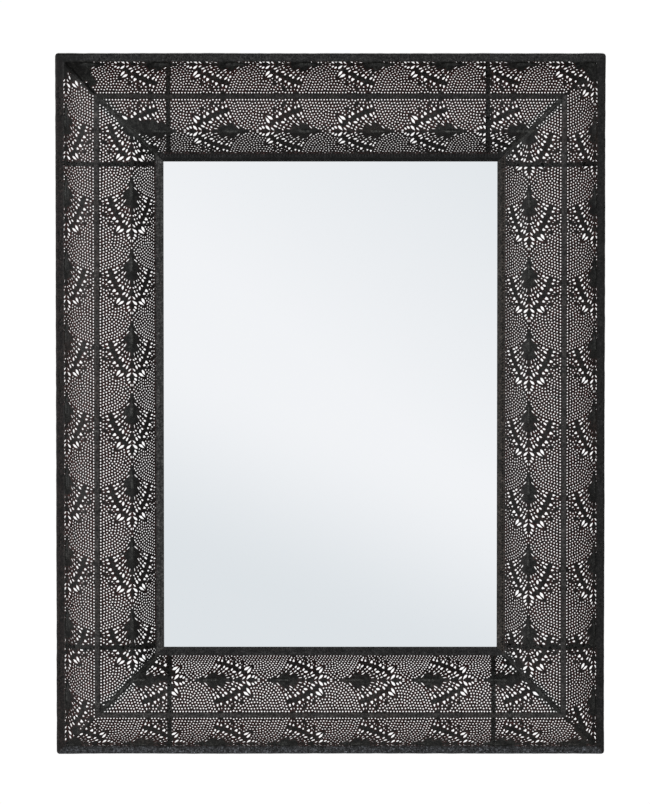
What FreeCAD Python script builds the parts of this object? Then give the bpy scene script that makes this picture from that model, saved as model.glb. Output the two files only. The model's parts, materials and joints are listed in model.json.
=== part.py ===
import FreeCAD, Part
import math
import os
import Sketcher

# Wall mirror with a wide frame of pierced sheet metal over a light steel structure.
# Row frame: X to the right seen from the front, Z up, the front faces -Y.
# The wall plane is Y = 0 and the origin is the centre of the back plane.
# Section coordinates used below: "across" is the distance from the frame's outer edge
# towards the glass, "height" is the distance in front of the wall plane.

V = FreeCAD.Vector
doc = FreeCAD.newDocument("pierced_frame_mirror")

# ---------------------------------------------------------------- dimensions
DIMS = [
    ("over_wide", 813.0, "overall width"),
    ("over_tall", 1041.0, "overall height"),
    ("standoff", 5.0, "bumper thickness, wall to back of the rails"),
    ("rail_across", 12.5, "outer rail with its wrapped skin, across"),
    ("rail_high", 14.0, "both rails, height without the skin"),
    ("tube_wall", 1.5, "outer rail tube wall"),
    ("skin", 0.8, "sheet thickness"),
    ("wrap_round", 1.6, "outer corner radius of the wrapped skin"),
    ("foot_round", 1.2, "bend from the outer rail up into the outer panel"),
    ("outer_arc", 107.4, "outer panel curvature, top side"),
    ("crest_across", 61.7, "crest line, across"),
    ("crest_high", 47.1, "crest line, height of the sheet's top side"),
    ("inner_arc", 434.0, "inner panel curvature up to the turn, top side"),
    ("turn_across", 113.2, "start of the inner turn, across"),
    ("turn_high", 43.6, "start of the inner turn, height"),
    ("turn_arc", 23.3, "inner turn radius, top side"),
    ("land_round", 3.0, "bend from the inner slope onto the inner rail"),
    ("land_across", 148.4, "end of that bend, across"),
    ("lap_across", 154.0, "edge of the sheet lapped on the inner rail"),
    ("band_wide", 160.0, "whole frame band, across"),
    ("angle_leg", 2.5, "inner rail leg and lip thickness"),
    ("angle_across", 12.7, "inner rail lip width"),
    ("lip_round", 0.9, "inner rail edge rounding"),
    ("strap_wide", 7.1, "crest strap width"),
    ("strap_thick", 2.5, "crest strap thickness"),
    ("strap_round", 0.8, "crest strap edge rounding"),
    ("rib_wide", 7.0, "rib width"),
    ("rib_thick", 2.5, "rib thickness"),
    ("ribpos_top_left", 167.5, "cross rib centres, from the outer edge"),
    ("ribpos_top_right", 174.5, ""),
    ("ribpos_bottom_left", 168.0, ""),
    ("ribpos_bottom_right", 165.0, ""),
    ("ribpos_left_top", 162.5, ""),
    ("ribpos_left_bottom", 162.0, ""),
    ("ribpos_right_top", 163.0, ""),
    ("ribpos_right_bottom", 162.7, ""),
    ("glass_edge", 151.0, "edge of the glass and board, across"),
    ("glass_thick", 4.0, "mirror glass"),
    ("board_thick", 4.0, "backing board"),
    ("lug_long", 16.0, "board lug along the rail"),
    ("lug_deep", 14.0, "board lug across"),
    ("lug_thick", 1.5, "board lug thickness"),
    ("lug_hole", 3.4, "hole in a lug"),
    ("screw_shank", 2.9, "lug screw shank diameter"),
    ("screw_pilot", 3.0, "pilot hole in the board"),
    ("screw_head", 6.0, "lug screw head diameter"),
    ("screw_cap", 1.7, "lug screw head thickness"),
    ("screw_bite", 3.2, "lug screw length in the board"),
    ("hang_across", 8.0, "hanger strap centre, across"),
    ("hang_level", 262.0, "hanger pivot above the centre"),
    ("hang_wide", 8.6, "hanger strap width"),
    ("hang_plate", 2.0, "folded hanger strap thickness"),
    ("hang_long", 30.0, "hanger strap length above the pivot"),
    ("eye_bore", 2.56, "knuckle bore diameter"),
    ("eye_outer", 4.7, "knuckle outer diameter"),
    ("ring_wire", 2.4, "D-ring wire diameter"),
    ("ring_half", 6.0, "D-ring bar half width and bow radius, wire centre"),
    ("ring_corner", 1.6, "D-ring corner radius, wire centre"),
    ("ring_side", 4.0, "D-ring straight side length"),
    ("bolt_shank", 3.0, "hanger screw shank diameter"),
    ("bolt_head", 5.6, "hanger screw countersunk head diameter"),
    ("bolt_long", 4.6, "hanger screw length"),
    ("bumper_size", 10.0, "wall bumper diameter"),
    ("bumper_level", 488.0, "wall bumpers above and below the centre"),
]
sheet = doc.addObject("Spreadsheet::Sheet", "Dims")
for i, (alias, value, note) in enumerate(DIMS):
    sheet.set("A%d" % (i + 1), alias)
    sheet.set("B%d" % (i + 1), "%g" % value)
    sheet.set("C%d" % (i + 1), note or "as above")
    sheet.setAlias("B%d" % (i + 1), alias)
doc.recompute()
D = {alias: float(value) for alias, value, note in DIMS}


def num(expr):
    """The value of an expression in the sheet's aliases, for first geometry."""
    if isinstance(expr, (int, float)):
        return float(expr)
    text = expr
    for alias in sorted(D, key=len, reverse=True):
        text = text.replace("Dims." + alias, "(%r)" % D[alias])
    return doc_value(text)


def doc_value(text):
    return float(FreeCAD.Units.Quantity(text).Value)


# ---------------------------------------------------------------- sketch helpers
def origin_plane(body, role):
    return [f for f in body.Origin.OriginFeatures if f.Role == role][0]


def body_sketch(body, name, role):
    sk = body.newObject("Sketcher::SketchObject", name)
    sk.AttachmentSupport = [(origin_plane(body, role), "")]
    sk.MapMode = "FlatFace"
    return sk


def bind(sk, index, name, expr):
    sk.renameConstraint(index, name)
    sk.setExpression("Constraints." + name, expr)


def corners(sk, points, tag="p"):
    """A closed polygon whose every corner is placed by two sheet expressions."""
    n = len(points)
    vals = [(num(a), num(b)) for a, b in points]
    base = sk.GeometryCount
    for i in range(n):
        a, b = vals[i], vals[(i + 1) % n]
        sk.addGeometry(Part.LineSegment(V(a[0], a[1], 0), V(b[0], b[1], 0)))
    for i in range(n):
        sk.addConstraint(Sketcher.Constraint("Coincident", base + i, 2, base + (i + 1) % n, 1))
    for i, (ex, ey) in enumerate(points):
        g = base + i
        for kind, expr, val in (("DistanceX", ex, vals[i][0]), ("DistanceY", ey, vals[i][1])):
            if abs(val) < 1e-9:
                # a zero offset is written as a point on the axis
                axis = -2 if kind == "DistanceX" else -1
                sk.addConstraint(Sketcher.Constraint("PointOnObject", g, 1, axis))
            else:
                c = sk.addConstraint(Sketcher.Constraint(kind, -1, 1, g, 1, val))
                bind(sk, c, "%s%d%s" % (tag, i, "x" if kind == "DistanceX" else "y"), expr)


def ortho(sk, points, rounds, tag="q"):
    """A closed right-angled polygon with some corners rounded.
    points: corner positions (x, y) as expressions; rounds: {corner index: radius expression}."""
    n = len(points)
    vals = [V(num(a), num(b), 0) for a, b in points]
    trims = []
    for i in range(n):
        r = num(rounds[i]) if i in rounds else 0.0
        before = (vals[i - 1] - vals[i]).normalize()
        after = (vals[(i + 1) % n] - vals[i]).normalize()
        trims.append((vals[i] + before * r, vals[i] + after * r, r, before, after))
    base = sk.GeometryCount
    for i in range(n):
        sk.addGeometry(Part.LineSegment(trims[i][1], trims[(i + 1) % n][0]))
    arc_at = {}
    for i in sorted(rounds):
        a, b, r, before, after = trims[i]
        centre = vals[i] + before * r + after * r
        a0 = math.atan2(a.y - centre.y, a.x - centre.x)
        a1 = math.atan2(b.y - centre.y, b.x - centre.x)
        turn = (a1 - a0) % (2 * math.pi)
        if turn < math.pi:
            arc_at[i] = (sk.addGeometry(Part.ArcOfCircle(Part.Circle(centre, V(0, 0, 1), r), a0, a0 + turn)), 1, 2)
        else:
            arc_at[i] = (sk.addGeometry(Part.ArcOfCircle(Part.Circle(centre, V(0, 0, 1), r), a1, a1 + 2 * math.pi - turn)), 2, 1)
    for i in range(n):
        line_in, line_out = base + (i - 1) % n, base + i
        if i in arc_at:
            arc, first, second = arc_at[i]
            sk.addConstraint(Sketcher.Constraint("Tangent", line_in, 2, arc, first))
            sk.addConstraint(Sketcher.Constraint("Tangent", arc, second, line_out, 1))
            c = sk.addConstraint(Sketcher.Constraint("Radius", arc, num(rounds[i])))
            bind(sk, c, "%sr%d" % (tag, i), rounds[i])
        else:
            sk.addConstraint(Sketcher.Constraint("Coincident", line_in, 2, line_out, 1))
    for i in range(n):
        g = base + i
        a, b = vals[i], vals[(i + 1) % n]
        if abs(a.y - b.y) < 1e-9:
            sk.addConstraint(Sketcher.Constraint("Horizontal", g))
            kind, expr, val, axis = "DistanceY", points[i][1], a.y, -1
        else:
            sk.addConstraint(Sketcher.Constraint("Vertical", g))
            kind, expr, val, axis = "DistanceX", points[i][0], a.x, -2
        if abs(val) < 1e-9:
            sk.addConstraint(Sketcher.Constraint("PointOnObject", g, 1, axis))
        else:
            c = sk.addConstraint(Sketcher.Constraint(kind, -1, 1, g, 1, val))
            bind(sk, c, "%s%d" % (tag, i), expr)


def circle(sk, x, y, dia, tag):
    g = sk.addGeometry(Part.Circle(V(num(x), num(y), 0), V(0, 0, 1), num(dia) / 2))
    c = sk.addConstraint(Sketcher.Constraint("Diameter", g, num(dia)))
    bind(sk, c, tag + "d", dia)
    for kind, expr, axis in (("DistanceX", x, -2), ("DistanceY", y, -1)):
        if abs(num(expr)) < 1e-9:
            sk.addConstraint(Sketcher.Constraint("PointOnObject", g, 3, axis))
        else:
            c = sk.addConstraint(Sketcher.Constraint(kind, -1, 1, g, 3, num(expr)))
            bind(sk, c, tag + ("x" if kind == "DistanceX" else "y"), expr)


def solved(sk):
    doc.recompute()
    if not sk.FullyConstrained:
        raise RuntimeError("sketch %s has free dimensions" % sk.Name)


PARTS = []


def sub_part(obj, label):
    obj.Label = label
    PARTS.append(obj)
    return obj


# Each frame member is modelled along local X with "across" along local +Z and then
# turned about Y onto its side of the frame.
SIDES = {
    "bottom": (0.0, "over_wide", V(0, 0, -1), "over_tall"),
    "top": (180.0, "over_wide", V(0, 0, 1), "over_tall"),
    "left": (90.0, "over_tall", V(-1, 0, 0), "over_wide"),
    "right": (-90.0, "over_tall", V(1, 0, 0), "over_wide"),
}


def set_side(obj, side, shift=None):
    """Places a member on its side of the frame; shift is a distance along local X."""
    angle, length, out, other = SIDES[side]
    rot = FreeCAD.Rotation(V(0, 1, 0), angle)
    along = rot.multVec(V(1, 0, 0))
    obj.Placement = FreeCAD.Placement(out * (D[other] / 2) + along * (num(shift) if shift else 0.0), rot)
    for axis, o, a in (("x", out.x, along.x), ("z", out.z, along.z)):
        terms = []
        if abs(o) > 0.5:
            terms.append("%d * Dims.%s / 2" % (round(o), other))
        if shift and abs(a) > 0.5:
            terms.append("%d * (%s)" % (round(a), shift))
        if terms:
            obj.setExpression("Placement.Base." + axis, " + ".join(terms))


# ---------------------------------------------------------------- straight members
BACK = "Dims.standoff"
FACE = "Dims.standoff + Dims.rail_high"
TOP = "Dims.standoff + Dims.rail_high + Dims.skin"


def mitred(body, name, length):
    """Cuts both ends of a member at 45 degrees in the XZ plane."""
    sk = body_sketch(body, name + "_mitre", "XZ_Plane")
    half = "Dims.%s / 2" % length
    for sign, tag in (("", "r"), ("-1 * ", "l")):
        corners(sk, [
            ("%s(%s + 20)" % (sign, half), "-20"),
            ("%s(%s + 20)" % (sign, half), "200"),
            ("%s(%s - 200)" % (sign, half), "200"),
        ], tag)
    solved(sk)
    before = body.Shape.Volume
    cut = body.newObject("PartDesign::Pocket", name + "_ends")
    cut.Profile = sk
    cut.Type = "ThroughAll"
    cut.SideType = "Symmetric"
    doc.recompute()
    if not body.Shape.Volume < before - 1.0:
        raise RuntimeError("the mitre of %s cut nothing" % name)


def bar(label, side, outlines):
    """A mitred bar or tube: outlines are (points, rounds) in (-height, across)."""
    length = SIDES[side][1]
    body = doc.addObject("PartDesign::Body", label)
    sk = body_sketch(body, label + "_section", "YZ_Plane")
    for k, (points, rounds) in enumerate(outlines):
        ortho(sk, points, rounds, "s%d" % k)
    solved(sk)
    pad = body.newObject("PartDesign::Pad", label + "_length")
    pad.Profile = sk
    pad.SideType = "Symmetric"
    pad.Length = D[length]
    pad.setExpression("Length", "Dims." + length)
    doc.recompute()
    mitred(body, label, length)
    set_side(body, side)
    return sub_part(body, label)


def minus(expr):
    return "-1 * (%s)" % expr


HANGER_HOLES = ("11", "23")
for side in ("top", "bottom", "left", "right"):
    # outer rail: rectangular steel tube inside the wrapped skin
    outer_a, outer_b = "Dims.skin", "Dims.rail_across"
    rail = bar("outer_rail_" + side, side, [
        ([(minus(BACK), outer_a), (minus(BACK), outer_b), (minus(FACE), outer_b), (minus(FACE), outer_a)],
         {0: "Dims.lip_round", 1: "Dims.lip_round", 2: "0.3 + 0 * Dims.skin", 3: "Dims.wrap_round - Dims.skin"}),
        ([(minus(BACK + " + Dims.tube_wall"), outer_a + " + Dims.tube_wall"),
          (minus(BACK + " + Dims.tube_wall"), outer_b + " - Dims.tube_wall"),
          (minus(FACE + " - Dims.tube_wall"), outer_b + " - Dims.tube_wall"),
          (minus(FACE + " - Dims.tube_wall"), outer_a + " + Dims.tube_wall")], {}),
    ])
    if side in ("left", "right"):
        # tapped holes for the hanger screws, through the back wall of the tube only
        sk = body_sketch(rail, "hanger_holes_" + side, "XZ_Plane")
        flip = -1 if side == "left" else 1
        for k, z in enumerate(HANGER_HOLES):
            circle(sk, "%d * (Dims.hang_level + %s)" % (flip, z), "Dims.hang_across", "Dims.bolt_shank + 0.1", "h%d" % k)
        solved(sk)
        before = rail.Shape.Volume
        cut = rail.newObject("PartDesign::Pocket", "hanger_taps_" + side)
        cut.Profile = sk
        cut.Length = 10
        cut.setExpression("Length", "Dims.standoff + Dims.tube_wall + 1")
        doc.recompute()
        want = 2 * math.pi * ((D["bolt_shank"] + 0.1) / 2) ** 2 * D["tube_wall"]
        if abs(before - rail.Shape.Volume - want) > 0.5:
            cut.Reversed = True
            doc.recompute()
        if abs(before - rail.Shape.Volume - want) > 0.5:
            raise RuntimeError("the hanger holes of %s removed %.2f, wanted %.2f" % (side, before - rail.Shape.Volume, want))
    # inner rail: angle with its lip over the glass edge
    leg_a = "Dims.band_wide - Dims.angle_across"
    leg_b = "Dims.band_wide - Dims.angle_across + Dims.angle_leg"
    bar("inner_rail_" + side, side, [
        ([(minus(BACK), leg_a), (minus(BACK), leg_b), (minus(FACE + " - Dims.angle_leg"), leg_b),
          (minus(FACE + " - Dims.angle_leg"), "Dims.band_wide"), (minus(FACE), "Dims.band_wide"),
          (minus(FACE), leg_a)],
         {3: "Dims.lip_round / 2", 4: "Dims.lip_round", 5: "0.4 + 0 * Dims.skin"}),
    ])
    # crest strap: flat bar over the joint of the two panels
    lo, hi = "Dims.crest_across - Dims.strap_wide / 2", "Dims.crest_across + Dims.strap_wide / 2"
    bar("crest_strap_" + side, side, [
        ([(minus("Dims.crest_high"), lo), (minus("Dims.crest_high"), hi),
          (minus("Dims.crest_high + Dims.strap_thick"), hi), (minus("Dims.crest_high + Dims.strap_thick"), lo)],
         {2: "Dims.strap_round", 3: "Dims.strap_round"}),
    ])

# ---------------------------------------------------------------- formed sheets and ribs
SECTION_PLANE = FreeCAD.Placement(V(0, 0, 0), FreeCAD.Rotation(V(0, 1, 0), V(0, 0, 1), V(1, 0, 0), "XYZ"))
# the section sketches lie in the YZ plane: sketch x is +Y (minus height), sketch y is +Z (across)


def tangent_chain(sk, items):
    """Adds lines and arcs end to end. items: ("line", a, b) or ("arc", centre, radius, start, end, sense)
    with points as (minus height, across); returns their geometry and end indexes."""
    out = []
    for item in items:
        if item[0] == "line":
            g = sk.addGeometry(Part.LineSegment(V(item[1][0], item[1][1], 0), V(item[2][0], item[2][1], 0)))
            out.append((g, 1, 2))
        else:
            tag, centre, radius, start, end = item
            a0 = math.atan2(start[1] - centre[1], start[0] - centre[0])
            a1 = math.atan2(end[1] - centre[1], end[0] - centre[0])
            turn = (a1 - a0) % (2 * math.pi)
            if turn < math.pi:
                arc = Part.ArcOfCircle(Part.Circle(V(centre[0], centre[1], 0), V(0, 0, 1), radius), a0, a0 + turn)
                out.append((sk.addGeometry(arc), 1, 2))
            else:
                arc = Part.ArcOfCircle(Part.Circle(V(centre[0], centre[1], 0), V(0, 0, 1), radius), a1, a1 + 2 * math.pi - turn)
                out.append((sk.addGeometry(arc), 2, 1))
    return out


def through(p, q, radius, side):
    """Centre of the circle of that radius through p and q, on the given side (+1 or -1)."""
    mx, my = (p[0] + q[0]) / 2, (p[1] + q[1]) / 2
    dx, dy = q[0] - p[0], q[1] - p[1]
    chord = math.hypot(dx, dy)
    rise = math.sqrt(radius * radius - chord * chord / 4)
    return (mx - side * dy / chord * rise, my + side * dx / chord * rise)


def outer_path(sk):
    """Wrapped skin over the outer rail and up to the crest, along its top side."""
    back, top = D["standoff"], D["standoff"] + D["rail_high"] + D["skin"]
    wr, fr, big = D["wrap_round"], D["foot_round"], D["outer_arc"]
    crest = (-D["crest_high"], D["crest_across"])
    bend_in = D["rail_across"] - 0.5
    # rise of the panel where the foot bend ends, found by stepping on the bend
    lo, hi = 0.3, 1.2
    for _ in range(60):
        a = (lo + hi) / 2
        foot = (-(top + fr * (1 - math.cos(a))), bend_in + fr * math.sin(a))
        c = through(foot, crest, big, 1)
        if c[0] < foot[0]:
            c = through(foot, crest, big, -1)
        # tangent of the big arc at the foot, as a rise angle
        slope = math.atan2(c[1] - foot[1], c[0] - foot[0])
        if slope > a:
            lo = a
        else:
            hi = a
    foot = (-(top + fr * (1 - math.cos(a))), bend_in + fr * math.sin(a))
    c = through(foot, crest, big, 1)
    if c[0] < foot[0]:
        c = through(foot, crest, big, -1)
    chain = tangent_chain(sk, [
        ("line", (-back, 0.0), (-(top - wr), 0.0)),
        ("arc", (-(top - wr), wr), wr, (-(top - wr), 0.0), (-top, wr)),
        ("line", (-top, wr), (-top, bend_in)),
        ("arc", (-(top + fr), bend_in), fr, (-top, bend_in), foot),
        ("arc", c, big, foot, crest),
    ])
    for (g1, s1, e1), (g2, s2, e2) in zip(chain, chain[1:]):
        sk.addConstraint(Sketcher.Constraint("Tangent", g1, e1, g2, s2))
    side, wrap, flat, foot_arc, panel = chain
    sk.addConstraint(Sketcher.Constraint("Horizontal", side[0]))
    sk.addConstraint(Sketcher.Constraint("PointOnObject", side[0], 1, -1))
    c = sk.addConstraint(Sketcher.Constraint("DistanceX", -1, 1, side[0], 1, -back)); bind(sk, c, "back", minus(BACK))
    c = sk.addConstraint(Sketcher.Constraint("Radius", wrap[0], wr)); bind(sk, c, "wrap", "Dims.wrap_round")
    sk.addConstraint(Sketcher.Constraint("Vertical", flat[0]))
    c = sk.addConstraint(Sketcher.Constraint("DistanceX", -1, 1, flat[0], 1, -top)); bind(sk, c, "face", minus(TOP))
    c = sk.addConstraint(Sketcher.Constraint("DistanceY", -1, 1, flat[0], 2, bend_in)); bind(sk, c, "bendin", "Dims.rail_across - 0.5")
    c = sk.addConstraint(Sketcher.Constraint("Radius", foot_arc[0], fr)); bind(sk, c, "foot", "Dims.foot_round")
    c = sk.addConstraint(Sketcher.Constraint("Radius", panel[0], big)); bind(sk, c, "panel", "Dims.outer_arc")
    c = sk.addConstraint(Sketcher.Constraint("DistanceX", -1, 1, panel[0], panel[2], crest[0])); bind(sk, c, "cresth", minus("Dims.crest_high"))
    c = sk.addConstraint(Sketcher.Constraint("DistanceY", -1, 1, panel[0], panel[2], crest[1])); bind(sk, c, "crestt", "Dims.crest_across")


def inner_path(sk):
    """From the crest over the inner turn and down onto the inner rail, along the top side."""
    top = D["standoff"] + D["rail_high"] + D["skin"]
    crest = (-D["crest_high"], D["crest_across"])
    turn = (-D["turn_high"], D["turn_across"])
    big, small, lr = D["inner_arc"], D["turn_arc"], D["land_round"]
    c = through(crest, turn, big, 1)
    if c[0] < crest[0]:
        c = through(crest, turn, big, -1)
    unit = ((c[0] - turn[0]) / big, (c[1] - turn[1]) / big)
    c2 = (turn[0] + unit[0] * small, turn[1] + unit[1] * small)
    land = D["land_across"]
    c3 = (-(top + lr), land)
    # inner tangent between the turn circle and the landing circle
    dx, dy = c3[0] - c2[0], c3[1] - c2[1]
    dist = math.hypot(dx, dy)
    base = math.atan2(dy, dx)
    swing = math.acos((small + lr) / dist)
    best = None
    for s in (swing, -swing):
        n = (math.cos(base + s), math.sin(base + s))
        p = (c2[0] + n[0] * small, c2[1] + n[1] * small)
        q = (c3[0] - n[0] * lr, c3[1] - n[1] * lr)
        if best is None or p[0] < best[0][0]:
            best = (p, q)
    p, q = best
    chain = tangent_chain(sk, [
        ("arc", c, big, crest, turn),
        ("arc", c2, small, turn, p),
        ("line", p, q),
        ("arc", c3, lr, q, (-top, land)),
        ("line", (-top, land), (-top, D["lap_across"])),
    ])
    for (g1, s1, e1), (g2, s2, e2) in zip(chain, chain[1:]):
        sk.addConstraint(Sketcher.Constraint("Tangent", g1, e1, g2, s2))
    crown, bend, slope, landing, lap = chain
    k = sk.addConstraint(Sketcher.Constraint("DistanceX", -1, 1, crown[0], crown[1], crest[0])); bind(sk, k, "cresth", minus("Dims.crest_high"))
    k = sk.addConstraint(Sketcher.Constraint("DistanceY", -1, 1, crown[0], crown[1], crest[1])); bind(sk, k, "crestt", "Dims.crest_across")
    k = sk.addConstraint(Sketcher.Constraint("DistanceX", -1, 1, crown[0], crown[2], turn[0])); bind(sk, k, "turnh", minus("Dims.turn_high"))
    k = sk.addConstraint(Sketcher.Constraint("DistanceY", -1, 1, crown[0], crown[2], turn[1])); bind(sk, k, "turnt", "Dims.turn_across")
    k = sk.addConstraint(Sketcher.Constraint("Radius", crown[0], big)); bind(sk, k, "crown", "Dims.inner_arc")
    k = sk.addConstraint(Sketcher.Constraint("Radius", bend[0], small)); bind(sk, k, "bend", "Dims.turn_arc")
    k = sk.addConstraint(Sketcher.Constraint("Radius", landing[0], lr)); bind(sk, k, "landing", "Dims.land_round")
    sk.addConstraint(Sketcher.Constraint("Vertical", lap[0]))
    k = sk.addConstraint(Sketcher.Constraint("DistanceX", -1, 1, lap[0], 1, -top)); bind(sk, k, "face", minus(TOP))
    k = sk.addConstraint(Sketcher.Constraint("DistanceY", -1, 1, lap[0], 1, land)); bind(sk, k, "land", "Dims.land_across")
    k = sk.addConstraint(Sketcher.Constraint("DistanceY", -1, 1, lap[0], 2, D["lap_across"])); bind(sk, k, "lap", "Dims.lap_across")


paths = {}
for name, build in (("outer", outer_path), ("inner", inner_path)):
    sk = doc.addObject("Sketcher::SketchObject", name + "_path")
    sk.Placement = SECTION_PLANE
    build(sk)
    solved(sk)
    paths[name] = sk


def thick_face(name, source, expr):
    """The band between a path and its offset towards the back of the frame."""
    off = doc.addObject("Part::Offset2D", name)
    off.Source = source
    off.Fill = True
    off.Join = "Intersection"
    off.Mode = "Skin"
    off.Value = num(expr)
    off.setExpression("Value", expr)
    doc.recompute()
    # the filled side has to be the back side
    if off.Shape.BoundBox.YMin < source.Shape.BoundBox.YMin - 1e-6:
        off.setExpression("Value", minus(expr))
        doc.recompute()
    return off


def run(name, face, length_expr):
    ext = doc.addObject("Part::Extrusion", name)
    ext.Base = face
    ext.DirMode = "Custom"
    ext.Dir = V(1, 0, 0)
    ext.Symmetric = True
    ext.Solid = True
    ext.LengthFwd = num(length_expr)
    ext.setExpression("LengthFwd", length_expr)
    doc.recompute()
    return ext


skins = {name: thick_face(name + "_skin_section", paths[name], "Dims.skin") for name in paths}
deeps = {name: thick_face(name + "_rib_section", paths[name], "Dims.skin + Dims.rib_thick") for name in paths}


def trapezoid(name, length, low, high):
    """A prism in plan that keeps one band of a side, mitred at both ends."""
    sk = doc.addObject("Sketcher::SketchObject", name + "_plan")
    # sketch x is X, sketch y is Z
    sk.Placement = FreeCAD.Placement(V(0, 0, 0), FreeCAD.Rotation(V(1, 0, 0), 90))
    half = "Dims.%s / 2" % length
    corners(sk, [
        ("-1 * (%s - (%s))" % (half, low), low),
        ("%s - (%s)" % (half, low), low),
        ("%s - (%s)" % (half, high), high),
        ("-1 * (%s - (%s))" % (half, high), high),
    ])
    solved(sk)
    ext = doc.addObject("Part::Extrusion", name)
    ext.Base = sk
    ext.DirMode = "Custom"
    ext.Dir = V(0, 1, 0)
    ext.Symmetric = True
    ext.Solid = True
    ext.LengthFwd = 200
    doc.recompute()
    return ext


bands = {"outer": ("0 - 2 * Dims.skin", "Dims.crest_across"), "inner": ("Dims.crest_across", "Dims.band_wide")}
for side in ("top", "bottom", "left", "right"):
    length = SIDES[side][1]
    for name in ("outer", "inner"):
        label = "%s_sheet_%s" % (name, side)
        common = doc.addObject("Part::Common", label)
        common.Base = run(label + "_run", skins[name], "Dims.%s + 10" % length)
        common.Tool = trapezoid(label + "_plan_prism", length, *bands[name])
        doc.recompute()
        set_side(common, side)
        sub_part(common, label)

# ribs: flat bars bent to the underside of both panels, between the two rails
SPAN_LOW, SPAN_HIGH = "Dims.rail_across", "Dims.band_wide - Dims.angle_across"


def rib_stock(name, length_expr):
    """Both panels' rib bars joined at the crest, cut back to the two rails."""
    halves = []
    for panel in ("outer", "inner"):
        deep = run(name + "_" + panel + "_deep", deeps[panel], length_expr)
        thin = run(name + "_" + panel + "_thin", skins[panel], length_expr + " + 2")
        cut = doc.addObject("Part::Cut", name + "_" + panel + "_bar")
        cut.Base, cut.Tool = deep, thin
        doc.recompute()
        box = doc.addObject("Part::Box", name + "_" + panel + "_keep")
        low = SPAN_LOW if panel == "outer" else "Dims.crest_across"
        high = "Dims.crest_across" if panel == "outer" else SPAN_HIGH
        box.Length, box.Width, box.Height = 10, 200, 10
        box.setExpression("Length", length_expr + " + 4")
        box.setExpression("Width", "200")
        box.setExpression("Height", "(%s) - (%s)" % (high, low))
        box.setExpression("Placement.Base.x", "-1 * ((%s) + 4) / 2" % length_expr)
        box.setExpression("Placement.Base.y", "-150")
        box.setExpression("Placement.Base.z", low)
        common = doc.addObject("Part::Common", name + "_" + panel + "_half")
        common.Base, common.Tool = cut, box
        doc.recompute()
        halves.append(common)
    fuse = doc.addObject("Part::Fuse", name)
    fuse.Base, fuse.Tool = halves
    fuse.Refine = True
    doc.recompute()
    return fuse


RIBS = [
    ("cross_rib_top_left", "top", "ribpos_top_left", -1),
    ("cross_rib_top_right", "top", "ribpos_top_right", 1),
    ("cross_rib_bottom_left", "bottom", "ribpos_bottom_left", -1),
    ("cross_rib_bottom_right", "bottom", "ribpos_bottom_right", 1),
    ("cross_rib_left_top", "left", "ribpos_left_top", 1),
    ("cross_rib_left_bottom", "left", "ribpos_left_bottom", -1),
    ("cross_rib_right_top", "right", "ribpos_right_top", 1),
    ("cross_rib_right_bottom", "right", "ribpos_right_bottom", -1),
]
for label, side, pos, sign in RIBS:
    rib = rib_stock(label, "Dims.rib_wide")
    # local +X points to -X on the top side and to -Z on the left side
    flip = -1 if side in ("top", "left") else 1
    set_side(rib, side, "%d * (Dims.%s / 2 - Dims.%s)" % (sign * flip, SIDES[side][1], pos))
    sub_part(rib, label)

# mitre ribs: the same bar section folded along each corner's diagonal, from just under
# the crest strap down to the inner rail
START = "(Dims.crest_across - Dims.strap_wide / 2)"
D_start = D["crest_across"] - D["strap_wide"] / 2
for corner, angle, sx, sz in (("bottom_left", 0, -1, -1), ("top_left", 90, -1, 1),
                              ("top_right", 180, 1, 1), ("bottom_right", -90, 1, -1)):
    label = "mitre_rib_" + corner
    stock = rib_stock(label + "_stock", "2 * Dims.band_wide + 20")
    strip = doc.addObject("Sketcher::SketchObject", label + "_strip")
    strip.Placement = FreeCAD.Placement(V(0, 0, 0), FreeCAD.Rotation(V(1, 0, 0), 90))
    width = "Dims.rib_wide / 2 * sqrt(2)"
    D_width = D["rib_wide"] / 2 * math.sqrt(2)
    pts = [(D_start, D_start), (D_start + D_width, D_start), (150.0 + D_width, 150.0), (150.0, 150.0)]
    exprs = [(START, START), (START + " + " + width, START), ("150 + " + width, "150"), ("150", "150")]
    for i in range(4):
        a, b = pts[i], pts[(i + 1) % 4]
        strip.addGeometry(Part.LineSegment(V(a[0], a[1], 0), V(b[0], b[1], 0)))
    for i in range(4):
        strip.addConstraint(Sketcher.Constraint("Coincident", i, 2, (i + 1) % 4, 1))
        for kind, k in (("DistanceX", 0), ("DistanceY", 1)):
            c = strip.addConstraint(Sketcher.Constraint(kind, -1, 1, i, 1, pts[i][k]))
            bind(strip, c, "c%d%s" % (i, "xy"[k]), exprs[i][k])
    solved(strip)
    prism = doc.addObject("Part::Extrusion", label + "_prism")
    prism.Base = strip
    prism.DirMode = "Custom"
    prism.Dir = V(0, 1, 0)
    prism.Symmetric = True
    prism.Solid = True
    prism.LengthFwd = 200
    half = doc.addObject("Part::Common", label + "_half")
    half.Base, half.Tool = stock, prism
    doc.recompute()
    other = doc.addObject("Part::Mirroring", label + "_other")
    other.Source = half
    other.Normal = V(1, 0, -1)
    other.Base = V(0, 0, 0)
    doc.recompute()
    rib = doc.addObject("Part::Fuse", label)
    rib.Base, rib.Tool = half, other
    doc.recompute()
    rib.Placement = FreeCAD.Placement(V(sx * D["over_wide"] / 2, 0, sz * D["over_tall"] / 2),
                                      FreeCAD.Rotation(V(0, 1, 0), angle))
    rib.setExpression("Placement.Base.x", "%d * Dims.over_wide / 2" % sx)
    rib.setExpression("Placement.Base.z", "%d * Dims.over_tall / 2" % sz)
    sub_part(rib, label)

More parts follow.
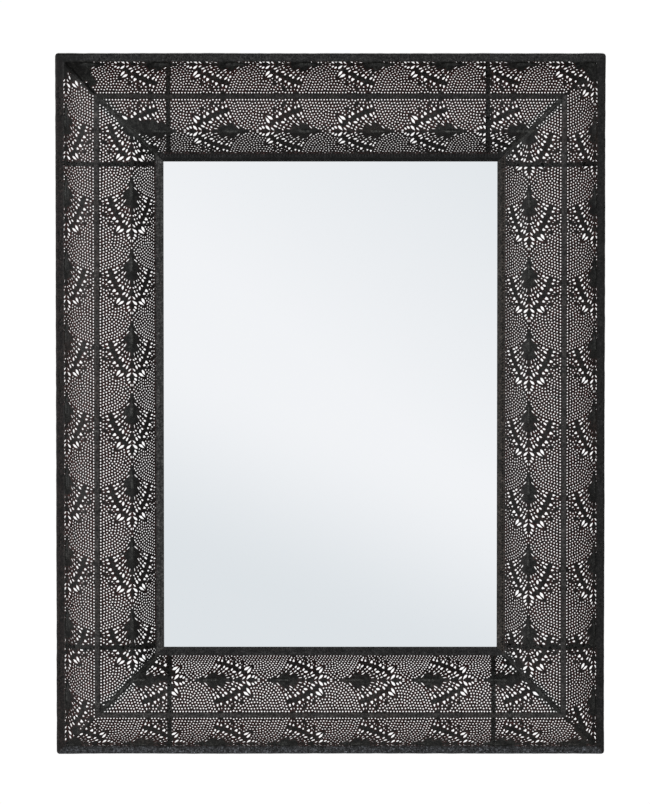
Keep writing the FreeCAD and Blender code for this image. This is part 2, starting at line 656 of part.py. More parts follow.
# ---------------------------------------------------------------- glass, board, lugs, screws
LUGS = []
for fx, fz in ((-1, -0.62), (-1, 0.0), (-1, 0.62), (1, -0.62), (1, 0.0), (1, 0.62)):
    LUGS.append(("side", fx, fz))
for fx, fz in ((-0.5, -1), (0.5, -1), (-0.5, 1), (0.5, 1)):
    LUGS.append(("end", fx, fz))
HALF_W = "Dims.over_wide / 2"
HALF_T = "Dims.over_tall / 2"
LEG_IN = "(Dims.band_wide - Dims.angle_across + Dims.angle_leg)"


def lug_centre(kind, fx, fz):
    """(x, z) expressions of a lug's centre."""
    if kind == "side":
        return ("%d * (%s - %s - Dims.lug_deep / 2)" % (fx, HALF_W, LEG_IN), "%g * (%s - Dims.glass_edge)" % (fz, HALF_T))
    return ("%g * (%s - Dims.glass_edge)" % (fx, HALF_W), "%d * (%s - %s - Dims.lug_deep / 2)" % (fz, HALF_T, LEG_IN))


def slab(label, offset, thick, outlines, holes):
    """A plate parallel to the wall: offset is the height of its back face."""
    body = doc.addObject("PartDesign::Body", label)
    sk = body_sketch(body, label + "_plan", "XZ_Plane")
    for k, pts in enumerate(outlines):
        corners(sk, pts, "o%d_" % k)
    for k, (x, z, dia) in enumerate(holes):
        circle(sk, x, z, dia, "h%d" % k)
    solved(sk)
    pad = body.newObject("PartDesign::Pad", label + "_thick")
    pad.Profile = sk
    pad.Length = num(thick)
    pad.setExpression("Length", thick)
    doc.recompute()
    # the plate has to grow towards the front (-Y) from its back face
    if body.Shape.BoundBox.YMax > 1e-6:
        pad.Reversed = True
        doc.recompute()
    body.Placement = FreeCAD.Placement(V(0, -num(offset), 0), FreeCAD.Rotation())
    body.setExpression("Placement.Base.y", minus(offset))
    return body


def plate_outline(inset):
    x, z = "(%s - %s)" % (HALF_W, inset), "(%s - %s)" % (HALF_T, inset)
    return [("-1 * " + x, "-1 * " + z), (x, "-1 * " + z), (x, z), ("-1 * " + x, z)]


GLASS_BACK = FACE + " - Dims.angle_leg - Dims.glass_thick"
BOARD_BACK = GLASS_BACK + " - Dims.board_thick"
LUG_BACK = BOARD_BACK + " - Dims.lug_thick"
glass = slab("mirror_glass", GLASS_BACK, "Dims.glass_thick", [plate_outline("Dims.glass_edge")], [])
sub_part(glass, "mirror_glass")
board = slab("backing_board", BOARD_BACK, "Dims.board_thick", [plate_outline("Dims.glass_edge")],
             [lug_centre(*lug) + ("Dims.screw_pilot",) for lug in LUGS])
sub_part(board, "backing_board")

outlines = []
for kind, fx, fz in LUGS:
    cx, cz = lug_centre(kind, fx, fz)
    half_along, half_across = "Dims.lug_long / 2", "Dims.lug_deep / 2"
    dx, dz = (half_across, half_along) if kind == "side" else (half_along, half_across)
    outlines.append([("%s - %s" % (cx, dx), "%s - %s" % (cz, dz)), ("%s + %s" % (cx, dx), "%s - %s" % (cz, dz)),
                     ("%s + %s" % (cx, dx), "%s + %s" % (cz, dz)), ("%s - %s" % (cx, dx), "%s + %s" % (cz, dz))])
lugs = slab("board_lugs", LUG_BACK, "Dims.lug_thick", outlines,
            [lug_centre(*lug) + ("Dims.lug_hole",) for lug in LUGS])
sub_part(lugs, "board_lugs")


def add_pad(body, name, circles, length, forward):
    """Round bosses on the body's XZ plane; forward is the direction in Y (-1 is the front)."""
    sk = body_sketch(body, name + "_plan", "XZ_Plane")
    for k, (x, z, dia) in enumerate(circles):
        circle(sk, x, z, dia, "c%d" % k)
    solved(sk)
    pad = body.newObject("PartDesign::Pad", name)
    pad.Profile = sk
    pad.Length = num(length)
    pad.setExpression("Length", length)
    before = body.Shape.BoundBox.YMin if not body.Shape.isNull() else 0.0
    doc.recompute()
    low, high = body.Shape.BoundBox.YMin, body.Shape.BoundBox.YMax
    wrong = (forward < 0 and low > before - 1e-6) or (forward > 0 and high < 1e-6)
    if wrong:
        pad.Reversed = True
        doc.recompute()
    return pad


# lug screws: pan heads behind the lugs, shanks through them into the board
screws = doc.addObject("PartDesign::Body", "lug_screws")
centres = [lug_centre(*lug) for lug in LUGS]
add_pad(screws, "shanks", [(x, z, "Dims.screw_shank") for x, z in centres], "Dims.lug_thick + Dims.screw_bite", -1)
add_pad(screws, "heads", [(x, z, "Dims.screw_head") for x, z in centres], "Dims.screw_cap", 1)
recess = body_sketch(screws, "driver_recess_plan", "XZ_Plane")
for k, (x, z) in enumerate(centres):
    a, b = "0.45", "1.7"
    corners(recess, [(x + " - " + b, z + " - " + a), (x + " - " + a, z + " - " + a), (x + " - " + a, z + " - " + b),
                     (x + " + " + a, z + " - " + b), (x + " + " + a, z + " - " + a), (x + " + " + b, z + " - " + a),
                     (x + " + " + b, z + " + " + a), (x + " + " + a, z + " + " + a), (x + " + " + a, z + " + " + b),
                     (x + " - " + a, z + " + " + b), (x + " - " + a, z + " + " + a), (x + " - " + b, z + " + " + a)],
            "x%d_" % k)
solved(recess)
before = screws.Shape.Volume
cut = screws.newObject("PartDesign::Pocket", "driver_recess")
cut.Profile = recess
cut.Type = "ThroughAll"
cut.Reversed = False
doc.recompute()
# the recess starts inside the head, 0.7 mm under its face, and runs out of the back
cut.Type = "Length"
recess.AttachmentOffset = FreeCAD.Placement(V(0, 0, -(D["screw_cap"] - 1.0)), FreeCAD.Rotation())
recess.setExpression("AttachmentOffset.Base.z", "-1 * (Dims.screw_cap - 1)")
cut.Length = 3
doc.recompute()
lost = before - screws.Shape.Volume
want = len(centres) * (4 * (1.7 - 0.45) * 0.9 + 0.81) * 1.0
if abs(lost - want) > 0.2 * want:
    cut.Reversed = not cut.Reversed
    doc.recompute()
    lost = before - screws.Shape.Volume
print("driver recess", round(lost, 3), "wanted", round(want, 3))
screws.Placement = FreeCAD.Placement(V(0, -num(LUG_BACK), 0), FreeCAD.Rotation())
screws.setExpression("Placement.Base.y", minus(LUG_BACK))
sub_part(screws, "lug_screws")

# ---------------------------------------------------------------- hangers
PIVOT_HIGH = "Dims.eye_outer / 2 + 0.3"
for name, sign in (("left", -1), ("right", 1)):
    px = "%d * (%s - Dims.hang_across)" % (sign, HALF_W)
    body = doc.addObject("PartDesign::Body", "hanger_strap_" + name)
    # local origin at the pivot: knuckle around the D-ring's bar, plate above it on the rail
    sk = body_sketch(body, "knuckle_section_" + name, "YZ_Plane")
    circle(sk, "0", "0", "Dims.eye_outer", "k")
    solved(sk)
    pad = body.newObject("PartDesign::Pad", "knuckle_" + name)
    pad.Profile = sk
    pad.SideType = "Symmetric"
    pad.Length = D["hang_wide"]
    pad.setExpression("Length", "Dims.hang_wide")
    doc.recompute()
    sk = body_sketch(body, "plate_section_" + name, "YZ_Plane")
    near = "-1 * (Dims.eye_outer / 2 - Dims.hang_plate)"
    far = "-1 * Dims.eye_outer / 2"
    ortho(sk, [(far, "0"), (near, "0"), (near, "Dims.hang_long"), (far, "Dims.hang_long")],
          {2: "0.5 + 0 * Dims.skin"}, "p")
    solved(sk)
    pad = body.newObject("PartDesign::Pad", "plate_" + name)
    pad.Profile = sk
    pad.SideType = "Symmetric"
    pad.Length = D["hang_wide"]
    pad.setExpression("Length", "Dims.hang_wide")
    doc.recompute()
    sk = body_sketch(body, "bore_section_" + name, "YZ_Plane")
    circle(sk, "0", "0", "Dims.eye_bore", "b")
    solved(sk)
    before = body.Shape.Volume
    cut = body.newObject("PartDesign::Pocket", "bore_" + name)
    cut.Profile = sk
    cut.Type = "ThroughAll"
    cut.SideType = "Symmetric"
    doc.recompute()
    assert body.Shape.Volume < before - 1.0, "the knuckle has no bore"
    # two screw holes with countersinks from the back
    sk = body_sketch(body, "holes_plan_" + name, "XZ_Plane")
    for k, z in enumerate(HANGER_HOLES):
        circle(sk, "0", z, "Dims.bolt_shank + 0.2", "h%d" % k)
    solved(sk)
    before = body.Shape.Volume
    cut = body.newObject("PartDesign::Pocket", "holes_" + name)
    cut.Profile = sk
    cut.Type = "ThroughAll"
    cut.SideType = "Symmetric"
    doc.recompute()
    assert body.Shape.Volume < before - 10.0, "the hanger strap has no holes"
    for k, z in enumerate((11, 23)):
        sk = body_sketch(body, "sink_%d_%s" % (k, name), "YZ_Plane")
        # half section of the countersink about the hole's axis, at height z
        y0, y1 = "-1 * (Dims.eye_outer / 2 - Dims.hang_plate)", "-1 * (Dims.eye_outer / 2 - Dims.hang_plate) - (Dims.bolt_head - Dims.bolt_shank) / 2"
        corners(sk, [(y0 + " + 0.2", "%d" % z), (y0 + " + 0.2", "%d + Dims.bolt_head / 2 + 0.3" % z), (y1, "%d + Dims.bolt_shank / 2" % z), (y1, "%d" % z)], "s")
        axis_line = sk.addGeometry(Part.LineSegment(V(-5, z, 0), V(5, z, 0)), True)
        solved_axis = sk.addConstraint(Sketcher.Constraint("Horizontal", axis_line))
        c = sk.addConstraint(Sketcher.Constraint("DistanceY", -1, 1, axis_line, 1, float(z)))
        c = sk.addConstraint(Sketcher.Constraint("DistanceX", -1, 1, axis_line, 1, -5.0))
        c = sk.addConstraint(Sketcher.Constraint("DistanceX", -1, 1, axis_line, 2, 5.0))
        solved(sk)
        before = body.Shape.Volume
        groove = body.newObject("PartDesign::Groove", "sink_cut_%d_%s" % (k, name))
        groove.Profile = sk
        groove.ReferenceAxis = (sk, ["Axis0"])
        groove.Angle = 360
        doc.recompute()
        assert body.Shape.Volume < before - 1.0, "the countersink cut nothing"
    body.Placement = FreeCAD.Placement(V(num(px), -num(PIVOT_HIGH), D["hang_level"]), FreeCAD.Rotation())
    body.setExpression("Placement.Base.x", px)
    body.setExpression("Placement.Base.y", minus(PIVOT_HIGH))
    body.setExpression("Placement.Base.z", "Dims.hang_level")
    sub_part(body, "hanger_strap_" + name)

    # D-ring: round wire swept round a closed D, its bar inside the knuckle
    ring = doc.addObject("PartDesign::Body", "d_ring_" + name)
    path = body_sketch(ring, "ring_path_" + name, "XZ_Plane")
    hw, cr, sd = D["ring_half"], D["ring_corner"], D["ring_side"]
    g_bar = path.addGeometry(Part.LineSegment(V(-(hw - cr), 0, 0), V(hw - cr, 0, 0)))
    g_c1 = path.addGeometry(Part.ArcOfCircle(Part.Circle(V(hw - cr, -cr, 0), V(0, 0, 1), cr), 0, math.pi / 2))
    g_s1 = path.addGeometry(Part.LineSegment(V(hw, -cr, 0), V(hw, -sd, 0)))
    g_bow = path.addGeometry(Part.ArcOfCircle(Part.Circle(V(0, -sd, 0), V(0, 0, 1), hw), math.pi, 2 * math.pi))
    g_s2 = path.addGeometry(Part.LineSegment(V(-hw, -sd, 0), V(-hw, -cr, 0)))
    g_c2 = path.addGeometry(Part.ArcOfCircle(Part.Circle(V(-(hw - cr), -cr, 0), V(0, 0, 1), cr), math.pi / 2, math.pi))
    for a, ea, b, eb in ((g_bar, 2, g_c1, 2), (g_c1, 1, g_s1, 1), (g_s1, 2, g_bow, 2), (g_bow, 1, g_s2, 1),
                         (g_s2, 2, g_c2, 2), (g_c2, 1, g_bar, 1)):
        path.addConstraint(Sketcher.Constraint("Tangent", a, ea, b, eb))
    path.addConstraint(Sketcher.Constraint("Horizontal", g_bar))
    path.addConstraint(Sketcher.Constraint("PointOnObject", g_bar, 1, -1))
    path.addConstraint(Sketcher.Constraint("Vertical", g_s1))
    path.addConstraint(Sketcher.Constraint("PointOnObject", g_bow, 3, -2))
    c = path.addConstraint(Sketcher.Constraint("Radius", g_bow, hw)); bind(path, c, "bow", "Dims.ring_half")
    c = path.addConstraint(Sketcher.Constraint("Radius", g_c1, cr)); bind(path, c, "corner", "Dims.ring_corner")
    path.addConstraint(Sketcher.Constraint("Equal", g_c1, g_c2))
    c = path.addConstraint(Sketcher.Constraint("DistanceY", -1, 1, g_bow, 3, -sd)); bind(path, c, "side", "-1 * Dims.ring_side")
    doc.recompute()
    if not path.FullyConstrained:
        path.addConstraint(Sketcher.Constraint("Vertical", g_s2))
    solved(path)
    wire = body_sketch(ring, "ring_wire_" + name, "YZ_Plane")
    circle(wire, "0", "0", "Dims.ring_wire", "w")
    solved(wire)
    pipe = ring.newObject("PartDesign::AdditivePipe", "ring_sweep_" + name)
    pipe.Profile = wire
    pipe.Spine = path
    doc.recompute()
    ring.Placement = FreeCAD.Placement(V(num(px), -num(PIVOT_HIGH), D["hang_level"]), FreeCAD.Rotation())
    ring.setExpression("Placement.Base.x", px)
    ring.setExpression("Placement.Base.y", minus(PIVOT_HIGH))
    ring.setExpression("Placement.Base.z", "Dims.hang_level")
    sub_part(ring, "d_ring_" + name)

# hanger screws: countersunk, through the straps into the rail tube
screw_bits = []
for sign in (-1, 1):
    for z in (11, 23):
        cone = doc.addObject("Part::Cone", "hanger_screw_head")
        cone.Radius1 = D["bolt_head"] / 2
        cone.Radius2 = D["bolt_shank"] / 2
        cone.Height = (D["bolt_head"] - D["bolt_shank"]) / 2
        cone.setExpression("Radius1", "Dims.bolt_head / 2")
        cone.setExpression("Radius2", "Dims.bolt_shank / 2")
        cone.setExpression("Height", "(Dims.bolt_head - Dims.bolt_shank) / 2")
        shank = doc.addObject("Part::Cylinder", "hanger_screw_shank")
        shank.setExpression("Radius", "Dims.bolt_shank / 2")
        shank.setExpression("Height", "Dims.bolt_long")
        one = doc.addObject("Part::Fuse", "hanger_screw_blank")
        one.Base, one.Tool = cone, shank
        cross = []
        for length, width in ((3.0, 0.7), (0.7, 3.0)):
            box = doc.addObject("Part::Box", "hanger_screw_slot")
            box.Length, box.Width, box.Height = length, width, 0.9
            box.Placement = FreeCAD.Placement(V(-length / 2, -width / 2, 0), FreeCAD.Rotation())
            cross.append(box)
        slot = doc.addObject("Part::Fuse", "hanger_screw_cross")
        slot.Base, slot.Tool = cross
        screw = doc.addObject("Part::Cut", "hanger_screw")
        screw.Base, screw.Tool = one, slot
        back = "(%s - Dims.hang_plate)" % BACK
        screw.Placement = FreeCAD.Placement(
            V(sign * (D["over_wide"] / 2 - D["hang_across"]), -num(back), D["hang_level"] + z),
            FreeCAD.Rotation(V(1, 0, 0), 90))
        screw.setExpression("Placement.Base.x", "%d * (%s - Dims.hang_across)" % (sign, HALF_W))
        screw.setExpression("Placement.Base.y", "-1 * %s" % back)
        screw.setExpression("Placement.Base.z", "Dims.hang_level + %d" % z)
        screw_bits.append(screw)
group = doc.addObject("Part::Compound", "hanger_screws")
group.Links = screw_bits
doc.recompute()
sub_part(group, "hanger_screws")

# wall bumpers: four round pads that set the frame off the wall
bumpers = doc.addObject("PartDesign::Body", "wall_bumpers")
spots = []
for sx in (-1, 1):
    for sz in (-1, 1):
        spots.append(("%d * (%s - Dims.skin / 2 - Dims.rail_across / 2)" % (sx, HALF_W), "%d * Dims.bumper_level" % sz, "Dims.bumper_size"))
add_pad(bumpers, "pads", spots, "Dims.standoff", -1)
sub_part(bumpers, "wall_bumpers")

# ---------------------------------------------------------------- checks and files
doc.recompute()
bad = [o.Name for o in doc.Objects if "Invalid" in o.State or "Error" in o.State]
if bad:
    raise RuntimeError("failed objects: %s" % bad)
os.makedirs("parts", exist_ok=True)
names = set()
for obj in PARTS:
    shape = obj.Shape
    if shape.isNull() or not shape.isValid() or not shape.Solids:
        raise RuntimeError("bad shape: %s" % obj.Label)
    if obj.Label in names:
        raise RuntimeError("name used twice: %s" % obj.Label)
    names.add(obj.Label)
for obj in PARTS:
    obj.Shape.exportStep(os.path.join("parts", obj.Label + ".step"))
    box = obj.Shape.BoundBox
    print("%-26s solids %2d volume %12.1f  x %.2f..%.2f  y %.2f..%.2f  z %.2f..%.2f" % (
        obj.Label, len(obj.Shape.Solids), obj.Shape.Volume, box.XMin, box.XMax, box.YMin, box.YMax, box.ZMin, box.ZMax))
print("sub-parts:", len(PARTS))
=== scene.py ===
import json
import math

import bmesh
import bpy
import numpy as np
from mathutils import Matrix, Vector, kdtree
from mathutils.geometry import delaunay_2d_cdt


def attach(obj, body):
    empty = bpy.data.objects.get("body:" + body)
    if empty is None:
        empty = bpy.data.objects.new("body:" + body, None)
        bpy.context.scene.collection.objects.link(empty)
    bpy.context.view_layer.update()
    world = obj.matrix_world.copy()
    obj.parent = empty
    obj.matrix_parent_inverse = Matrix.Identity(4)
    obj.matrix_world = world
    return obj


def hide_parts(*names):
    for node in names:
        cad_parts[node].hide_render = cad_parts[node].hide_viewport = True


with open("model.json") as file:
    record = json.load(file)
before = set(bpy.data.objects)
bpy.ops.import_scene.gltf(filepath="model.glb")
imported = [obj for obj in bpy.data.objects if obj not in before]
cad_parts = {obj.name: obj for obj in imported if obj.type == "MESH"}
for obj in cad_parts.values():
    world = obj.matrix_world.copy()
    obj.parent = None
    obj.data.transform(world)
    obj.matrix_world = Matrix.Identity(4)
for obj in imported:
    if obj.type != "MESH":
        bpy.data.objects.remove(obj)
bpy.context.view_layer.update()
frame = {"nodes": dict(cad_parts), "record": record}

scene = bpy.context.scene

# ------------------------------------------------------------------ sizes, in millimetres
HALF_X, HALF_Z = 406.5, 520.5
SKIN = 0.8
WRAP = 3.0            # the skin's rounding over the rail's outer edge
BEND_T, FOOT = 11.0, 4.0   # where the flat lap ends, and the soft bend up to the slope
CREST_T, CREST_H = 61.7, 47.1
K = 1.4847            # one step of the pattern's own grid
AXIS_W = 35 * K       # flat distance from the crest to the row of drops
STEPS = 72            # grid steps in one repeat along the member

# where the first repeat starts along each member, its length, and which way it runs
RUNS = {
    "left": (327.2, 106.75, -1),
    "right": (314.7, 106.29, -1),
    "top": (-132.1, 106.91, -1),
    "bottom": (132.6, 107.07, 1),
}
SIDES = ("top", "bottom", "left", "right")


# ------------------------------------------------------------------ section of the two panels
def through(p, q, radius, side):
    """Centre of the circle of that radius through p and q, on the given side."""
    mx, my = (p[0] + q[0]) / 2, (p[1] + q[1]) / 2
    dx, dy = q[0] - p[0], q[1] - p[1]
    chord = math.hypot(dx, dy)
    rise = math.sqrt(radius * radius - chord * chord / 4)
    return (mx - side * dy / chord * rise, my + side * dx / chord * rise)


def arc(c, r, a, b, step=0.08):
    """Points on a circle from a to b, the short way."""
    a0 = math.atan2(a[1] - c[1], a[0] - c[0])
    a1 = math.atan2(b[1] - c[1], b[0] - c[0])
    turn = (a1 - a0 + math.pi) % (2 * math.pi) - math.pi
    n = max(4, int(abs(turn) * r / step))
    return [(c[0] + r * math.cos(a0 + turn * i / n), c[1] + r * math.sin(a0 + turn * i / n)) for i in range(n + 1)]


def line(a, b, step=0.25):
    n = max(1, int(math.hypot(b[0] - a[0], b[1] - a[1]) / step))
    return [(a[0] + (b[0] - a[0]) * i / n, a[1] + (b[1] - a[1]) * i / n) for i in range(n + 1)]


class Section:
    """A panel's front side as (across, height) against flat distance w from the crest."""

    def __init__(self, points, crest_last):
        p = [points[0]]
        for q in points[1:]:
            if math.hypot(q[0] - p[-1][0], q[1] - p[-1][1]) > 1e-6:
                p.append(q)
        p = np.array(p)
        d = np.diff(p, axis=0)
        s = np.concatenate([[0], np.cumsum(np.hypot(d[:, 0], d[:, 1]))])
        self.w = s - s[-1] if crest_last else s
        self.p = p
        ang = np.arctan2(d[:, 1], d[:, 0])
        mid = (self.w[1:] + self.w[:-1]) / 2
        self.mid, self.ang = mid, np.unwrap(ang)
        self.lo, self.hi = float(self.w[0]), float(self.w[-1])

    def at(self, w, off=0.0):
        """(across, height) at flat distance w, pushed out by off along the normal."""
        t = np.interp(w, self.w, self.p[:, 0])
        h = np.interp(w, self.w, self.p[:, 1])
        a = np.interp(w, self.mid, self.ang)
        return t - np.sin(a) * off, h + np.cos(a) * off

    def slope(self, w):
        return np.interp(w, self.mid, self.ang)


def outer_section():
    top, wr, fr, big, bend = 19.8, WRAP, FOOT, 107.4, BEND_T
    crest = (CREST_T, CREST_H)
    lo, hi = 0.3, 1.2
    for _ in range(60):
        a = (lo + hi) / 2
        foot = (bend + fr * math.sin(a), top + fr * (1 - math.cos(a)))
        c = through(foot, crest, big, -1)
        if c[1] > foot[1]:
            c = through(foot, crest, big, 1)
        if math.atan2(c[0] - foot[0], foot[1] - c[1]) > a:
            lo = a
        else:
            hi = a
    pts = line((0.0, 5.0), (0.0, top - wr)) + arc((wr, top - wr), wr, (0.0, top - wr), (wr, top))
    pts += line((wr, top), (bend, top), 0.5) + arc((bend, top + fr), fr, (bend, top), foot)
    pts += arc(c, big, foot, crest)
    return Section(pts, True)


def inner_section():
    top, big, small, lr, land = 19.8, 434.0, 23.3, 3.0, 148.4
    crest, turn = (CREST_T, CREST_H), (113.2, 43.6)
    c = through(crest, turn, big, -1)
    if c[1] > crest[1]:
        c = through(crest, turn, big, 1)
    c2 = (turn[0] + (c[0] - turn[0]) / big * small, turn[1] + (c[1] - turn[1]) / big * small)
    c3 = (land, top + lr)
    dx, dy = c3[0] - c2[0], c3[1] - c2[1]
    dist, base = math.hypot(dx, dy), math.atan2(dy, dx)
    swing = math.acos((small + lr) / dist)
    best = None
    for s in (swing, -swing):
        n = (math.cos(base + s), math.sin(base + s))
        p = (c2[0] + n[0] * small, c2[1] + n[1] * small)
        q = (c3[0] - n[0] * lr, c3[1] - n[1] * lr)
        if best is None or p[1] > best[0][1]:
            best = (p, q)
    p, q = best
    pts = arc(c, big, crest, turn, 0.2) + arc(c2, small, turn, p) + line(p, q) + arc(c3, lr, q, (land, top))
    pts += line((land, top), (154.0, top))
    return Section(pts, False)


SECTION = {"outer": outer_section(), "inner": inner_section()}


def nearest_w(panel, t, h):
    s_ = SECTION[panel]
    return float(s_.w[np.argmin(np.hypot(s_.p[:, 0] - t, s_.p[:, 1] - h))])


W_BEND = nearest_w("outer", BEND_T, 19.8)
W_FLAT = nearest_w("outer", WRAP, 19.8)
W_WALL = nearest_w("outer", 0.0, 19.8 - WRAP)


def half_of(side):
    return HALF_X if side in ("top", "bottom") else HALF_Z


def place(side, t, h, a):
    """Points in metres in the object's frame, from across, height and along."""
    t, h, a = np.broadcast_arrays(np.asarray(t, float), np.asarray(h, float), np.asarray(a, float))
    out = np.empty(t.shape + (3,))
    out[..., 1] = -h
    if side == "top":
        out[..., 0], out[..., 2] = a, HALF_Z - t
    elif side == "bottom":
        out[..., 0], out[..., 2] = a, -HALF_Z + t
    elif side == "left":
        out[..., 0], out[..., 2] = -HALF_X + t, a
    else:
        out[..., 0], out[..., 2] = HALF_X - t, a
    return out * 0.001


# ------------------------------------------------------------------ soft random fields
def field(x, y, scale, seed, octaves=3):
    """Smooth seeded noise, about -1 to 1, from sums of turned waves."""
    rng = np.random.default_rng(seed)
    total, norm, s = np.zeros(np.broadcast(x, y).shape), 0.0, 1.0 / scale
    for o in range(octaves):
        part = np.zeros_like(total)
        for _ in range(5):
            ang, ph, st = rng.uniform(0, math.tau), rng.uniform(0, math.tau), rng.uniform(0.7, 1.4)
            part += np.sin((x * math.cos(ang) + y * math.sin(ang)) * s * st * 6.0 + ph)
        total += part / 2.4 * 0.5 ** o
        norm += 0.5 ** o
        s *= 2.1
    return np.clip(total / norm, -1, 1)


def step(x, lo, hi):
    y = np.clip((x - lo) / (hi - lo), 0, 1)
    return y * y * (3 - 2 * y)


# ------------------------------------------------------------------ the running pattern
# u is the distance from the row of drops towards the crest strap, v runs along the member
DOTS = [
    (31.4, 1.2), (31.4, 4.3), (31.0, 7.3), (31.4, 10.4), (31.4, 13.5), (31.4, 21.1), (31.4, 24.1), (31.4, 27.6),
    (30.6, 30.5), (31.2, 33.5), (30.4, 36.8), (31.3, 39.8), (31.4, 43.0), (31.4, 46.1), (31.4, 49.2), (31.4, 52.1),
    (31.4, 55.2), (31.4, 58.3), (31.4, 61.3), (31.4, 64.2), (31.4, 67.1), (31.4, 70.2),
    (28.3, 0.4), (28.7, 3.2), (27.7, 6.1), (28.5, 9.0), (29.0, 11.8), (28.6, 22.3), (28.6, 25.4), (28.1, 31.9),
    (27.7, 35.3), (28.3, 39.0), (27.9, 41.8), (28.5, 45.1), (28.6, 48.2), (28.5, 51.1), (28.2, 54.2), (28.3, 57.5),
    (27.7, 60.5), (28.4, 63.4), (28.0, 66.3), (28.5, 69.5),
    (25.9, 2.3), (24.9, 5.0), (25.5, 7.9), (26.1, 11.0), (25.5, 22.1), (25.1, 33.0), (23.6, 35.6), (25.7, 37.5),
    (24.9, 40.3), (23.1, 42.7), (25.7, 43.8), (23.2, 45.7), (25.9, 47.0), (25.4, 49.8), (25.2, 53.0), (25.5, 56.3),
    (25.0, 59.2), (25.6, 62.5), (25.0, 65.4), (25.6, 68.4), (25.6, 71.3),
    (23.0, 1.1), (22.0, 4.1), (22.8, 7.1), (23.2, 10.1), (22.1, 32.0), (22.4, 48.3), (22.1, 51.3), (22.1, 54.3),
    (22.8, 57.0), (21.0, 59.2), (22.9, 61.3), (22.1, 64.1), (22.7, 67.3), (22.9, 70.2),
    (20.2, 0.4), (19.4, 3.0), (20.0, 6.3), (20.5, 9.1), (20.6, 41.2), (20.8, 44.4), (18.2, 43.0), (16.5, 40.6),
    (19.1, 46.9), (19.3, 49.7), (19.2, 53.4), (19.9, 56.5), (19.8, 61.9), (20.0, 66.1), (20.0, 69.3),
    (16.7, 1.7), (17.3, 5.2), (17.5, 8.1), (16.3, 51.1), (16.4, 54.1), (17.0, 57.0), (17.5, 59.8), (15.8, 62.2),
    (17.9, 64.2), (15.4, 65.8), (17.5, 67.7), (17.2, 71.0),
    (14.2, 0.2), (14.7, 3.9), (14.8, 6.9), (13.4, 50.9), (13.3, 53.7), (13.8, 56.8), (14.4, 59.6), (13.3, 63.6),
    (12.8, 67.2), (14.7, 69.2),
    (10.2, 0.9), (12.4, 2.6), (9.8, 3.7), (12.3, 5.5), (10.8, 49.6), (10.4, 52.6), (10.8, 55.4), (11.3, 58.2),
    (11.8, 61.0), (9.4, 62.8), (10.9, 65.0), (10.0, 68.3), (12.1, 70.3),
    (7.7, 1.9), (5.5, 0.0), (8.1, 48.0), (7.7, 50.8), (7.5, 53.7), (8.1, 56.8), (9.0, 59.9), (6.7, 63.3), (8.1, 65.8),
    (6.4, 68.3), (8.2, 70.7), (5.5, 55.3), (6.2, 59.0), (3.6, 57.5), (4.4, 61.6), (2.0, 59.9), (5.0, 65.5),
    (2.6, 64.1), (2.6, 67.1), (3.8, 69.1), (5.5, 71.5),
]
AXIS_DOTS = [(0.0, 62.6)]
